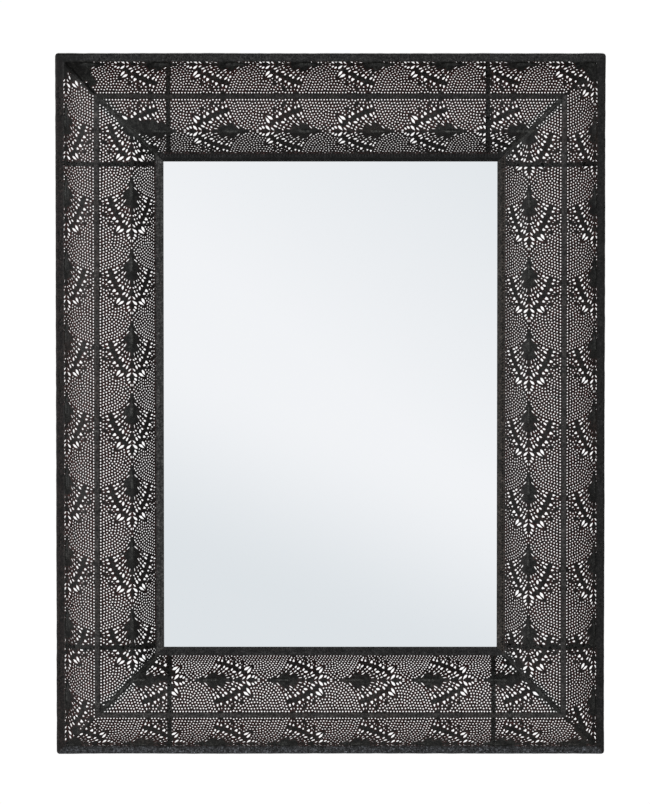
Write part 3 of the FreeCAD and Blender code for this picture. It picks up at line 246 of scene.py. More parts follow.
# (u, v, length, width, direction u, direction v, kind)
CUTS = [
    (4.1, 2.85, 4.69, 1.08, 1, 1, "slit"), (7.9, 6.1, 2.00, 1.00, 1, 0.65, "oval"), (11.2, 8.3, 1.48, 0.74, 1, 0.7, "oval"),
    (9.5, 10.4, 2.74, 1.28, 1, 0.75, "oval"), (12.5, 12.8, 1.81, 1.31, 1, 0.8, "oval"), (14.5, 10.4, 2.82, 2.26, 1, 0.5, "oval"),
    (17.9, 12.0, 3.00, 1.88, 1, 0.15, "oval"), (16.2, 14.8, 4.11, 2.15, 1, 0.86, "oval"), (9.4, 15.0, 2.65, 1.25, 1, 1, "oval"),
    (6.9, 15.75, 4.47, 1.16, 0.7, 1, "slit"), (12.5, 17.6, 1.78, 1.53, 1, 0.9, "oval"), (9.6, 19.5, 3.11, 1.46, 0.8, 1, "oval"),
    (15.2, 20.0, 3.06, 2.16, 1, 0.5, "oval"), (13.0, 22.6, 3.88, 2.52, 0.75, 1, "oval"), (7.3, 21.9, 2.24, 1.12, 0.6, 1, "oval"),
    (5.1, 22.9, 1.99, 1.16, 0.5, 1, "oval"), (2.5, 24.8, 3.87, 0.86, 0.15, 1, "slit"), (9.6, 24.9, 1.59, 1.35, 1, 0.8, "oval"),
    (6.4, 26.5, 2.44, 1.22, 0.15, 1, "oval"), (11.8, 27.9, 2.99, 1.94, 1, 0.6, "oval"), (3.9, 29.2, 2.23, 1.72, 1, 0.8, "oval"),
    (1.7, 30.4, 2.06, 1.37, 1, 0.9, "oval"), (9.0, 30.1, 4.43, 2.58, 0.15, 1, "slit"), (5.8, 32.5, 1.72, 1.41, 1, 0.8, "oval"),
    (3.0, 33.8, 2.31, 1.42, 0.4, 1, "oval"), (7.9, 36.0, 3.79, 1.99, 1, 0.8, "oval"), (4.9, 37.6, 4.28, 2.14, 0.5, 1, "oval"),
    (28.8, 15.8, 2.15, 1.49, 1, 0.1, "tri"), (28.3, 18.7, 1.46, 0.84, 1, 0.0, "tri"), (25.1, 14.5, 2.90, 2.12, 1, 0.1, "tri"),
    (23.8, 18.0, 2.87, 2.03, 1, 0.1, "tri"), (22.1, 24.2, 3.33, 2.77, 1, 0.3, "tri"), (25.4, 26.7, 1.84, 1.38, 1, 0.4, "tri"),
    (23.7, 28.8, 1.12, 0.69, 1, 0.2, "tri"), (19.6, 27.7, 2.41, 1.98, 1, 0.1, "tri"), (17.6, 33.0, 3.66, 3.08, 1, 0.5, "tri"),
    (14.6, 36.0, 3.10, 2.52, 1, 0.3, "tri"), (20.1, 36.2, 1.83, 1.49, 1, 0.1, "tri"), (18.4, 37.9, 1.14, 0.83, 1, 0.1, "tri"),
    (13.7, 43.3, 7.40, 3.00, -4.1, -6.2, "leaf"), (11.0, 45.5, 7.69, 2.62, -6.6, -4.4, "leaf"), (2.1, 40.3, 4.43, 1.58, 3.1, 3.3, "leaf"),
    (3.1, 45.1, 6.77, 2.63, 5.0, 4.4, "leaf"), (3.8, 49.8, 3.44, 2.19, 1, 1, "oval"), (2.6, 52.6, 3.09, 2.00, 1, 1.1, "oval"),
    (1.0, 55.5, 2.46, 1.38, 0, 1, "oval"),
]


# how strongly the steep inner slope near the glass is darkened, by member: painted shade
STEEP = {"top": 1.0, "bottom": 0.45, "left": 0.75, "right": 0.6}
# how far the last rows before the glass are drawn together, and the gather along the member there
PRESS = {"left": 0.93, "right": 0.985, "top": 1.0, "bottom": 0.88}
GATHER = 0.008
# distance from the outer edge of the punch marks round the glass, by member
MARKS = {"right": 151.3, "top": 151.0}
SLIM = {"slit": 0.85, "oval": 0.79, "tri": 0.86, "leaf": 0.9}
# places filled with solder and paint: member, panel, centre and half sizes along x and z in the frame
FILLED = [
    ("top", "outer", -378.0, 507.0, 26.0, 13.5),
    ("top", "outer", -366.0, 497.0, 15.0, 13.0),
    ("top", "outer", 372.0, 508.0, 14.0, 12.0),
    ("right", "outer", 392.0, 492.0, 12.0, 14.0),
    ("left", "outer", -398.0, 500.0, 16.0, 10.0),
    ("left", "outer", -371.0, 487.0, 14.0, 8.0),
    ("top", "outer", -352.0, 480.0, 7.0, 9.0),
    ("top", "inner", -271.0, 412.0, 30.0, 10.5),
    ("left", "inner", -295.0, 411.0, 11.0, 11.0),
    ("top", "inner", 268.0, 408.0, 9.0, 6.0),
    ("bottom", "inner", -252.0, -405.5, 15.0, 6.5),
    ("bottom", "inner", 277.0, -405.0, 9.0, 7.0),
]


def filled(side, panel, x, z):
    return any(s == side and p == panel and ((x - cx) / rx) ** 2 + ((z - cz) / rz) ** 2 < 1
               for s, p, cx, cz, rx, rz in FILLED)


def outline(kind, length, width, rng):
    """Outline of one punched hole about its centre, long side along x, in millimetres."""
    if kind == "dot":
        n, ph = 8, rng.uniform(0, 0.7)
        a = np.arange(n) * math.tau / n + ph
        r = length / 2 * (1 + rng.uniform(-0.05, 0.05, n))
        return np.stack([r * np.cos(a), r * np.sin(a)], 1)
    if kind == "oval":
        n = 10
        a = (np.arange(n) + 0.5) * math.tau / n
        x = length / 2 * np.cos(a)
        y = width / 2 * np.sin(a) * 1.04
        return np.stack([x, y], 1) * (1 + rng.uniform(-0.04, 0.04, (n, 1)))
    if kind == "slit":
        s = np.array([0.0, 0.16, 0.38, 0.62, 0.84, 1.0])
        y = width / 2 * np.sin(math.pi * np.clip(s, 0, 1)) ** 0.6
        y[0] = y[-1] = 0.0
        x = (s - 0.5) * length
        top = np.stack([x[1:-1], y[1:-1]], 1)[::-1]
        low = np.stack([x[1:-1], -y[1:-1]], 1)
        return np.concatenate([[[x[0], 0]], low, [[x[-1], 0]], top])
    if kind == "tri":
        n = 9
        a = (np.arange(n) + 0.5) * math.tau / n
        r = 1 + 0.24 * np.cos(3 * a) + rng.uniform(-0.03, 0.03, n)
        return np.stack([length / 2 * r * np.cos(a), width / 2 * r * np.sin(a)], 1)
    # leaf: pointed at -x, full towards +x
    s = np.array([0.0, 0.14, 0.3, 0.48, 0.66, 0.82, 0.94, 1.0])
    y = width / 2 * np.sin(math.pi * s ** 1.45) ** 0.85
    y[0] = y[-1] = 0.0
    x = (s - 0.5) * length
    top = np.stack([x[1:-1], y[1:-1]], 1)[::-1]
    low = np.stack([x[1:-1], -y[1:-1]], 1)
    return np.concatenate([[[x[0], 0]], low, [[x[-1], 0]], top])


def holes_of(side, panel):
    """Outlines (w, along) of all holes of one sheet, and centres of the blind dimples on its laps."""
    rng = np.random.default_rng(hash_of(side + panel))
    start, repeat, way = RUNS[side]
    sec, half = SECTION[panel], half_of(side)
    ps = -1 if panel == "outer" else 1
    found, dimples = [], []
    span = int(half / repeat) + 6
    todo = [(u, v, 1.43, 1.43, 1, 0, "dot", both) for lst, both in ((DOTS, True), (AXIS_DOTS, False)) for u, v in lst]
    todo += [c[:2] + (c[2] * 0.96, c[3] * SLIM[c[6]]) + c[4:] + (True,) for c in CUTS]
    for i in range(-span, span + 1):
        for u, v, ln, wd, du, dv, kind, both in todo:
            for mirror in ((-1, 1) if both else (1,)):
                across = u
                if panel == "inner" and mirror > 0:
                    across = u - (1 - PRESS[side]) * 31.4 * (u / 31.4) ** 3
                w = ps * (AXIS_W + mirror * across * K)
                a = start + way * (v / STEPS + i) * repeat
                if panel == "inner" and mirror > 0:
                    a -= GATHER * a * float(step(u, 0, 9))
                jw, ja, js = rng.normal(0, 0.04), rng.normal(0, 0.04), 1 + rng.normal(0, 0.035)
                w, a = w + jw, a + ja
                if not sec.lo < w < sec.hi or abs(a) > half:
                    continue
                r = ln * K / 2
                t, h = sec.at(w)
                gap = (half - t - abs(a)) / math.sqrt(2)
                where = place(side, t, h, a) * 1000
                if filled(side, panel, where[0], where[2]):
                    continue
                if gap < 7:
                    ragged = 0.5 + 0.5 * float(field(np.array(a), np.array(w), 13, 77))
                    corner_fill = side in ("top", "left") and where[0] < 0 < where[2] and panel == "outer"
                    gap -= (3.8 if corner_fill else 1.3 if panel == "inner" else 0.5) * ragged
                if panel == "outer":
                    if w < -59.6 + r * 0.3:
                        if kind == "dot" and W_FLAT + 1.0 < w < -61.2 and gap > 3.0:
                            dimples.append((w, a))
                        continue
                    if gap < r + 0.7:
                        continue
                else:
                    if gap < r + 0.1:
                        continue
                    if w > 96.9 - r * 0.4:
                        if kind == "dot" and u > 30.0 and w < 99.4:
                            dimples.append((w, a))
                        continue
                if abs(w) < 4.2:
                    continue
                slope = float(step(w, 53, 62) * (1 - step(w, 92, 96))) if panel == "inner" else 0.0
                small = 1.0
                if kind == "dot":
                    small = {"right": 0.955, "top": 0.96, "left": 1.02}.get(side, 1.04) * (0.93 if u < 8 else 0.975 if u < 13 else 1.0)
                    if panel == "inner" and mirror > 0:
                        small *= 1 - {"bottom": 0.26, "left": 0.13, "right": 0.2, "top": 0.02}[side] * float(step(u, 17, 29))
                shape = outline(kind, ln * K * js * small, wd * K * js * small, rng)
                dw, da = ps * mirror * du, way * dv
                if kind == "leaf" or kind == "slit" or kind == "oval" or kind == "tri":
                    n = math.hypot(dw, da)
                    ex = np.array([dw / n, da / n])
                    ey = np.array([-ex[1], ex[0]])
                    shape = shape[:, :1] * ex + shape[:, 1:] * ey
                shape = shape * np.array([1 + (0.05 if side == "top" else 0.17) * slope, 1.0]) + np.array([w, a])
                x, y = shape[:, 0], shape[:, 1]
                if np.sum(x * np.roll(y, -1) - np.roll(x, -1) * y) < 0:
                    shape = shape[::-1]
                found.append(shape)
    # a row of blind punch marks on the flat edge round the glass
    if panel == "inner" and side in MARKS:
        w = nearest_w("inner", MARKS[side], 19.8)
        dimples = [d for d in dimples if abs(d[0] - w) > 3.2]
        reach = half - MARKS[side] - 4.0
        for a in np.arange(-reach, reach, 4.32):
            dimples.append((w + rng.normal(0, 0.1), a + rng.normal(0, 0.12)))
    return found, dimples


def hash_of(text):
    n = 5381
    for ch in text:
        n = (n * 33 + ord(ch)) % 1000003
    return n


def lift(side, panel, w, a):
    """How far the formed sheet stands off its true surface: hand-made waves, drops raised on the row."""
    seed = hash_of(side + panel)
    start, repeat, way = RUNS[side]
    ps = -1 if panel == "outer" else 1
    d = 0.16 * field(w, a, 60, seed) + 0.07 * field(w, a, 14, seed + 1)
    # raised drops
    v = ((a - start) * way / repeat) % 1.0 * STEPS
    v = np.where(v > 60, v - STEPS, v)
    off = w - ps * AXIS_W
    body = step(v, -6, 3) * (1 - step(v, 12.5, 20.5))
    ridge = step(v, -5, 4) * (1 - step(v, 13.0, 16.8))
    wide = 1.4 + 3.4 * step(v, -4, 12)
    thin = 1.2 + 1.5 * step(v, -4, 12)
    strength = 1 + 0.35 * field(a, 0 * a + off * 0, 90, seed + 9, 1)
    d = d + 0.3 * body * np.exp(-(off / wide) ** 2) + 1.75 * strength * ridge * np.exp(-np.abs(off / thin) ** 2.6)
    # hammered surround of each drop
    d = d + 0.16 * body * field(w, a, 5.5, seed + 12) * np.exp(-(off / 9.0) ** 4)
    if panel == "outer":
        # skin wrapped over the rail: lumps and dents, never proud of the rail's outer faces
        lump = 0.5 * field(w * 1.5, a, 9, seed + 3) + 0.5 * field(w * 0.7, a, 26, seed + 4)
        lap = 1 - step(w, W_BEND - 2.6, W_BEND + 0.6)
        d = d * (1 - lap) + lap * (0.25 * lump - 0.1)
        wrap = 1 - step(w, W_WALL, W_FLAT)
        d = d * (1 - wrap) + wrap * (0.2 * lump - 0.2)
        d = np.where(w < W_WALL + 1.0, np.minimum(d, -0.01), d)
        d = d * step(np.abs(w), 0.0, 4.0)
    else:
        lap = step(w, 93.5, 96.5)
        d = d * (1 - lap) + lap * 0.12 * field(w, a, 8, seed + 5)
        d = d * step(w, 0.0, 4.0) * (1 - step(w, sec_hi("inner") - 1.5, sec_hi("inner")))
    return d


def front_across(panel, w):
    return np.interp(w, SECTION[panel].w, SECTION[panel].p[:, 0])


def sec_hi(panel):
    return SECTION[panel].hi


def wave(side, a):
    """How far the rail runs inside its straight outer line, along the member, in millimetres."""
    seed = hash_of(side)
    slow = 0.5 + 0.5 * field(a, 0 * a + 7.0, 330, seed + 21, 2)
    quick = field(a, 0 * a + 3.0, 38, seed + 22, 2)
    return np.clip(0.42 * slow + 0.14 * quick + 0.06, 0, 0.7) * step(half_of(side) - np.abs(a), 12, 55)


def pulled(side, t, a):
    """Across distance once the rail's waves are let in, fading out over the rail's width."""
    return t + wave(side, a) * (1 - step(t, 2.5, 13.0))


ROUND = 5.0


def round_corner(p, less=0.0):
    """Rounds the frame's four outer corners in plan. p is in metres."""
    r = ROUND - less
    cx, cz = (HALF_X - ROUND) * 0.001, (HALF_Z - ROUND) * 0.001
    dx, dz = np.abs(p[:, 0]) - cx, np.abs(p[:, 2]) - cz
    d = np.hypot(dx, dz)
    m = (dx > 0) & (dz > 0) & (d > r * 0.001)
    k = np.where(m, r * 0.001 / np.maximum(d, 1e-9), 1.0)
    p[:, 0] = np.where(m, np.sign(p[:, 0]) * (cx + dx * k), p[:, 0])
    p[:, 2] = np.where(m, np.sign(p[:, 2]) * (cz + dz * k), p[:, 2])
    return p


# plan outlines of the cross ribs under the sheets
RIBS = []
for name_, ob_ in frame["nodes"].items():
    if name_.startswith("cross_rib"):
        corner = [ob_.matrix_world @ Vector(c_) for c_ in ob_.bound_box]
        RIBS.append(((min(c_.x for c_ in corner), min(c_.z for c_ in corner)),
                     (max(c_.x for c_ in corner), max(c_.z for c_ in corner))))


# ------------------------------------------------------------------ perforated sheets
def sheet_mesh(side, panel):
    sec, half = SECTION[panel], half_of(side)
    rng = np.random.default_rng(hash_of(side + panel) + 11)
    holes, dimples = holes_of(side, panel)

    def limit(w):
        return half - sec.at(w)[0]

    # rim of the flat sheet
    fine = 2.4
    if panel == "outer":
        rows = [sec.lo, W_WALL - 8.2, W_WALL - 4.9, W_WALL - 2.2] + list(np.linspace(W_WALL, W_FLAT, 7))
        rows += list(np.linspace(W_FLAT, W_BEND, 6)[1:]) + [W_BEND + 0.7, W_BEND + 1.4, W_BEND + 2.1, W_BEND + 2.9]
        cross = rows + list(np.arange(W_BEND + 4.5, -0.5, 1.7)) + [0.0]
    else:
        rows = [95.0, 95.6, 96.2, 96.8, 97.5, 99.6, sec.hi]
        cross = [0.0] + list(np.arange(1.5, 94.0, 1.7)) + rows
    cross = np.array(sorted(cross))
    low = np.stack([cross, -limit(cross)], 1)
    high = np.stack([cross, limit(cross)], 1)[::-1]

    def edge(w, a0, a1, size):
        n = max(2, int(abs(a1 - a0) / size))
        return np.stack([np.full(n - 1, w), np.linspace(a0, a1, n + 1)[1:-1]], 1)

    rim = np.concatenate([
        low, edge(cross[-1], -limit(cross[-1]), limit(cross[-1]), fine),
        high, edge(cross[0], limit(cross[0]), -limit(cross[0]), 4.0 if panel == "outer" else fine)])

    pts, faces, n = [rim], [list(range(len(rim)))], len(rim)
    for hole in holes:
        pts.append(hole)
        faces.append(list(range(n, n + len(hole))))
        n += len(hole)
    hard = np.concatenate(pts)
    tree = kdtree.KDTree(len(hard))
    for i, (x, y) in enumerate(hard):
        tree.insert((x, y, 0.0), i)
    tree.balance()

    free = []
    # close rows across the bends and on the laps
    for w in (rows[1:] if panel == "outer" else rows[:-1]):
        m = limit(w)
        k = int(2 * m / 3.9)
        a = np.linspace(-m, m, k + 1)[1:-1]
        free.append(np.stack([np.full(len(a), w), a], 1))
    # along the raised drops
    start, repeat, way = RUNS[side]
    ps = -1 if panel == "outer" else 1
    if True:
        for i in range(-8, 9):
            v = np.arange(-8, 22, 1.35)
            a = start + way * (v / STEPS + i) * repeat
            for off in (-6.0, -4.2, -2.9, -1.9, -1.0, 0.0, 1.0, 1.9, 2.9, 4.2, 6.0):
                free.append(np.stack([np.full(len(a), ps * AXIS_W + off), a], 1))
    lattice_lo, lattice_hi = (W_BEND + 4.0, -1.5) if panel == "outer" else (1.5, 94.2)
    gw, ga = np.meshgrid(np.arange(lattice_lo, lattice_hi, 3.3), np.arange(-half, half, 3.6))
    ga = ga + (np.arange(gw.shape[1]) % 2) * 1.8
    grid = np.stack([gw.ravel(), ga.ravel()], 1) + rng.uniform(-0.5, 0.5, (gw.size, 2))
    free = np.concatenate(free + [grid])
    free = free[np.abs(free[:, 1]) < limit(free[:, 0]) - 0.9]
    free = free[(free[:, 0] > sec.lo + 0.3) & (free[:, 0] < sec.hi - 0.3)]

    # blind dimples: a ring and its sunk middle
    sunk, ring = [], []
    if dimples:
        for w, a in dimples:
            if panel == "outer" and rng.uniform() < 0.3:
                continue
            near = tree.find((w, a, 0.0))[2]
            if near < 2.0:
                continue
            ang = np.arange(7) * math.tau / 7 + rng.uniform(0, 1)
            ring.append(np.stack([w + 1.45 * np.cos(ang), a + 1.45 * np.sin(ang)], 1))
            sunk.append((w, a))
            sunk += [(w + 1.0 * math.cos(q), a + 1.0 * math.sin(q)) for q in ang + 0.45]
        if sunk:
            sunk, ring = np.array(sunk), np.concatenate(ring)

    keep = []
    own = kdtree.KDTree(len(sunk) if len(sunk) else 1)
    if len(sunk):
        for i, (x, y) in enumerate(sunk):
            own.insert((x, y, 0.0), i)
    else:
        own.insert((1e6, 1e6, 0.0), 0)
    own.balance()
    cell = {}
    for x, y in free:
        if tree.find((x, y, 0.0))[2] < 1.05 or own.find((x, y, 0.0))[2] < 1.3:
            continue
        key = (int(x // 0.9), int(y // 0.9))
        clash = False
        for i in (-1, 0, 1):
            for j in (-1, 0, 1):
                for q in cell.get((key[0] + i, key[1] + j), ()):
                    if (q[0] - x) ** 2 + (q[1] - y) ** 2 < 0.6:
                        clash = True
        if not clash:
            cell.setdefault(key, []).append((x, y))
            keep.append((x, y))
    blocks = [hard, np.array(keep)]
    if len(sunk):
        blocks += [ring, sunk]
    flat = np.concatenate(blocks)
    first_sunk = len(flat) - len(sunk)
    out = delaunay_2d_cdt([tuple(p) for p in flat.tolist()], [], faces, 0, 1e-5, True)
    verts = np.array([tuple(v) for v in out[0]])
    tri = np.array([f for f, o in zip(out[2], out[5]) if len(f) == 3 and list(o) == [0]])
    deep = np.zeros(len(verts), bool)
    for i, o in enumerate(out[3]):
        if o and min(o) >= first_sunk:
            deep[i] = True
    used = np.unique(tri)
    new = np.full(len(verts), -1)
    new[used] = np.arange(len(used))
    edge_of_hole = np.zeros(len(verts), bool)
    for i, o in enumerate(out[3]):
        if o and len(rim) <= min(o) < len(hard):
            edge_of_hole[i] = True
    verts, tri, deep, edge_of_hole = verts[used], new[tri], deep[used], edge_of_hole[used]
    # same sense everywhere
    p, q, r = verts[tri[:, 0]], verts[tri[:, 1]], verts[tri[:, 2]]
    area = (q[:, 0] - p[:, 0]) * (r[:, 1] - p[:, 1]) - (q[:, 1] - p[:, 1]) * (r[:, 0] - p[:, 0])
    tri = np.where(area[:, None] < 0, tri[:, ::-1], tri)
    tri = tri[np.abs(area) > 1e-7]

    n = len(verts)
    w, a = verts[:, 0], verts[:, 1]
    d = lift(side, panel, w, a) - 0.5 * deep
    ft, fh = sec.at(w, d)
    bt, bh = sec.at(w, d - SKIN)
    if panel == "outer":
        ft, bt = pulled(side, ft, a), pulled(side, bt, a)
    # both sides end on the mitre plane
    front, back = place(side, ft, fh, a), place(side, bt, bh, a)
    xyz = np.concatenate([front, back])
    if panel == "outer":
        xyz[:n] = round_corner(xyz[:n])
        xyz[n:] = round_corner(xyz[n:], SKIN)

    # open rims, each with the metal on its left
    i, j = tri.ravel(), np.roll(tri, -1, axis=1).ravel()
    key, back_key = i.astype(np.int64) * n + j, j.astype(np.int64) * n + i
    open_ = ~np.isin(key, back_key)
    bi, bj = i[open_], j[open_]

    # facing: outward normal of the first triangles against the surface's own
    p, q, r = xyz[tri[:, 0]], xyz[tri[:, 1]], xyz[tri[:, 2]]
    nrm = np.cross(q - p, r - p)
    flip = nrm[:, 1].sum() > 0
    quad = np.stack([bj, bi, bi + n, bj + n], 1)
    f_front, f_back = tri, tri[:, ::-1] + n
    if flip:
        f_front, f_back, quad = tri[:, ::-1], tri + n, quad[:, ::-1]

    # flat layout for baking: strips side by side, walls just inside the holes
    segs = 5 if half > 500 else 4
    cut = 2 * half / segs
    span = sec.hi - sec.lo
    pitch = span + 4.0

    def uv_of(ww, aa, seg, is_back):
        col = seg * 2 + (1 if is_back else 0)
        return np.stack([(ww - sec.lo) + 2.0 + col * pitch, aa + half - seg * cut + 9.0], -1)

    inset = np.zeros((n, 2))
    ed = verts[bj] - verts[bi]
    ln = np.maximum(np.hypot(ed[:, 0], ed[:, 1]), 1e-9)
    nv = np.stack([ed[:, 1], -ed[:, 0]], 1) / ln[:, None]
    np.add.at(inset, bi, nv)
    np.add.at(inset, bj, nv)
    size = np.maximum(np.hypot(inset[:, 0], inset[:, 1]), 1e-9)
    inset = inset / size[:, None] * 0.3
    seg_t = np.clip(((verts[tri, 1].mean(1) + half) / cut).astype(int), 0, segs - 1)
    seg_q = np.clip((((verts[bi, 1] + verts[bj, 1]) / 2 + half) / cut).astype(int), 0, segs - 1)
    uv_v = uv_of(verts[tri][..., 0], verts[tri][..., 1], seg_t[:, None], False)
    uv_b = uv_of(verts[tri][..., 0], verts[tri][..., 1], seg_t[:, None], True)
    eb = verts + inset
    uv_q = np.stack([
        uv_of(verts[bj, 0], verts[bj, 1], seg_q, False), uv_of(verts[bi, 0], verts[bi, 1], seg_q, False),
        uv_of(eb[bi, 0], eb[bi, 1], seg_q, False), uv_of(eb[bj, 0], eb[bj, 1], seg_q, False)], 1)
    if flip:
        uv_v, uv_q = uv_v[:, ::-1], uv_q[:, ::-1]
    else:
        uv_b = uv_b[:, ::-1]
    uv = np.concatenate([uv_v.reshape(-1, 2), uv_b.reshape(-1, 2), uv_q.reshape(-1, 2)])
    uv = uv / max(segs * 2 * pitch, cut + 18.0)

    name = "pierced_%s_%s" % (panel, side)
    me = bpy.data.meshes.new(name)
    nt, nq = len(tri), len(quad)
    loops = np.concatenate([f_front.ravel(), f_back.ravel(), quad.ravel()]).astype(np.int32)
    starts = np.concatenate([np.arange(2 * nt) * 3, 6 * nt + np.arange(nq) * 4]).astype(np.int32)
    me.vertices.add(2 * n)
    me.vertices.foreach_set("co", xyz.astype(np.float32).ravel())
    me.loops.add(len(loops))
    me.loops.foreach_set("vertex_index", loops)
    me.polygons.add(2 * nt + nq)
    me.polygons.foreach_set("loop_start", starts)
    me.update(calc_edges=True)
    layer = me.uv_layers.new(name="OFBake")
    layer.data.foreach_set("uv", uv.astype(np.float32).ravel())
    me.polygons.foreach_set("use_smooth", np.ones(2 * nt + nq, bool))
    ev = np.empty(len(me.edges) * 2, np.int32)
    me.edges.foreach_get("vertices", ev)
    ev = np.sort(ev.reshape(-1, 2), axis=1).astype(np.int64)
    m = 2 * n
    rim_pairs = np.sort(np.stack([bi, bj], 1), axis=1).astype(np.int64)
    keys = np.concatenate([rim_pairs[:, 0] * m + rim_pairs[:, 1], (rim_pairs[:, 0] + n) * m + rim_pairs[:, 1] + n])
    me.edges.foreach_set("use_edge_sharp", np.isin(ev[:, 0] * m + ev[:, 1], keys))
    lap = (1 - step(w, W_BEND - 1.0, W_BEND + 2.6)) if panel == "outer" else step(w, 94.2, 95.4)
    # painted shade on the steep inner slope, strength by member
    steep = 0 * w if panel == "outer" else STEEP[side] * step(w, 51, 56) * (1 - step(w, 92.5, 95))
    if panel == "outer":
        # darker towards the top left corner
        from_corner = np.hypot(front[:, 0] * 1000 + HALF_X, front[:, 2] * 1000 - HALF_Z)
        steep = 0.95 * (1 - step(from_corner + 9 * field(w, a, 16, 45), 22, 62))
    # lighter along the drops' ridges: partly paint rubbed thin, partly a painted highlight
    v = ((a - start) * way / repeat) % 1.0 * STEPS
    v = np.where(v > 60, v - STEPS, v)
    crown = step(v, -4, 3) * (1 - step(v, 12.5, 15.5)) * np.exp(-((w - ps * AXIS_W) / (0.8 + 0.75 * step(v, -4, 12))) ** 2)
    crown = crown * (1 if panel == "inner" else 0.6)
    # solder smeared along the inner mitres
    smear = 0 * w
    if panel == "inner":
        away = (half - front_across(panel, w) - np.abs(a)) / math.sqrt(2)
        smear = (1 - step(away, 2.5, 6.5)) * (0.7 + 0.3 * field(w, a, 12, 91)) * (1 - lap)
    # holes that lie over a rib show no light round their rims
    over = np.zeros(n)
    for lo_, hi_ in RIBS:
        over = np.maximum(over, ((front[:, 0] > lo_[0]) & (front[:, 0] < hi_[0]) & (front[:, 2] > lo_[1])
                                 & (front[:, 2] < hi_[1])).astype(float))
    if panel == "inner":
        tx, tz = HALF_X - np.abs(front[:, 0]) * 1000, HALF_Z - np.abs(front[:, 2]) * 1000
        over = np.maximum(over, (np.abs(tx - tz) < 13.0).astype(float))
    edge_of_hole = edge_of_hole * (1 - over)
    for label, values in (("hole_edge", edge_of_hole), ("pit", deep), ("lap", lap), ("steep", steep), ("crown", crown), ("smear", smear)):
        at = me.attributes.new(label, "FLOAT", "POINT")
        at.data.foreach_set("value", np.concatenate([values, values]).astype(np.float32))
    me.update()
    me.validate()
    ob = bpy.data.objects.new(name, me)
    scene.collection.objects.link(ob)
    print(name, "holes", len(holes), "dimples", len(sunk), "faces", 2 * nt + 2 * nq)
    return ob


# ------------------------------------------------------------------ plain bars and solder
def solid(name, xyz, faces, sharp_above=None):
    me = bpy.data.meshes.new(name)
    me.from_pydata([tuple(v) for v in xyz.tolist()], [], faces)
    bm = bmesh.new()
    bm.from_mesh(me)
    bmesh.ops.recalc_face_normals(bm, faces=bm.faces)
    if sharp_above is not None:
        for e in bm.edges:
            if len(e.link_faces) == 2 and e.calc_face_angle() > sharp_above:
                e.smooth = False
    for f in bm.faces:
        f.smooth = True
    bm.to_mesh(me)
    bm.free()
    me.update()
    ob = bpy.data.objects.new(name, me)
    scene.collection.objects.link(ob)
    return ob


def rail_mesh(side):
    """Rectangular tube of the outer rail, its outer edge rounded in plan at the corners."""
    half = half_of(side)
    r = ROUND - SKIN
    ang = np.radians(np.linspace(45, 90, 6))
    ca = half - ROUND + r * np.cos(ang)
    ct = ROUND - r * np.sin(ang)
    m = half - ROUND
    mid = np.linspace(m, -m, 111)[1:-1]
    a = np.concatenate([ca, mid, -ca[::-1]])
    t = np.concatenate([ct, np.full(len(mid), SKIN), ct[::-1]]) + wave(side, a)
    reach = half - t[0]
    n = len(a)

    def loop(out, inn, low, high, chamfer):
        """One closed outline at every station: outer wall, rounded front corner, front, inner wall, back."""
        grow = a * (1 - out / reach)
        tt, inner_a = t + out, a / reach * (half - inn)
        rows_ = [(tt, low, grow)]
        k = 4 if chamfer > 0.5 else 1
        for q in range(k):
            th = math.pi / 2 * (q / (k - 1) if k > 1 else 0.5)
            rows_.append((tt + chamfer * (1 - math.cos(th)), high - chamfer * (1 - math.sin(th)),
                          a * (1 - (out + chamfer * (1 - math.cos(th))) / reach)))
        rows_.append((np.full(n, inn), high, inner_a))
        rows_.append((np.full(n, inn), low, inner_a))
        return [place(side, x, h, y) for x, h, y in rows_]

    outer, inner = loop(0.0, 12.5, 5.0, 19.0, 2.2), loop(1.5, 11.0, 6.5, 17.5, 0.8)
    xyz = np.concatenate(outer + inner)
    no, ni = len(outer), len(inner)

    def at(block, row, i):
        return (row if block == 0 else no + row) * n + i

    faces = []
    for block, count in ((0, no), (1, ni)):
        for row in range(count):
            nx = (row + 1) % count
            for i in range(n - 1):
                faces.append([at(block, row, i), at(block, nx, i), at(block, nx, i + 1), at(block, row, i + 1)])
    assert no == ni
    for i in (0, n - 1):
        for row in range(no):
            nx = (row + 1) % no
            faces.append([at(0, row, i), at(0, nx, i), at(1, nx, i), at(1, row, i)])
    return solid("rail_" + side, xyz, faces, math.radians(40))


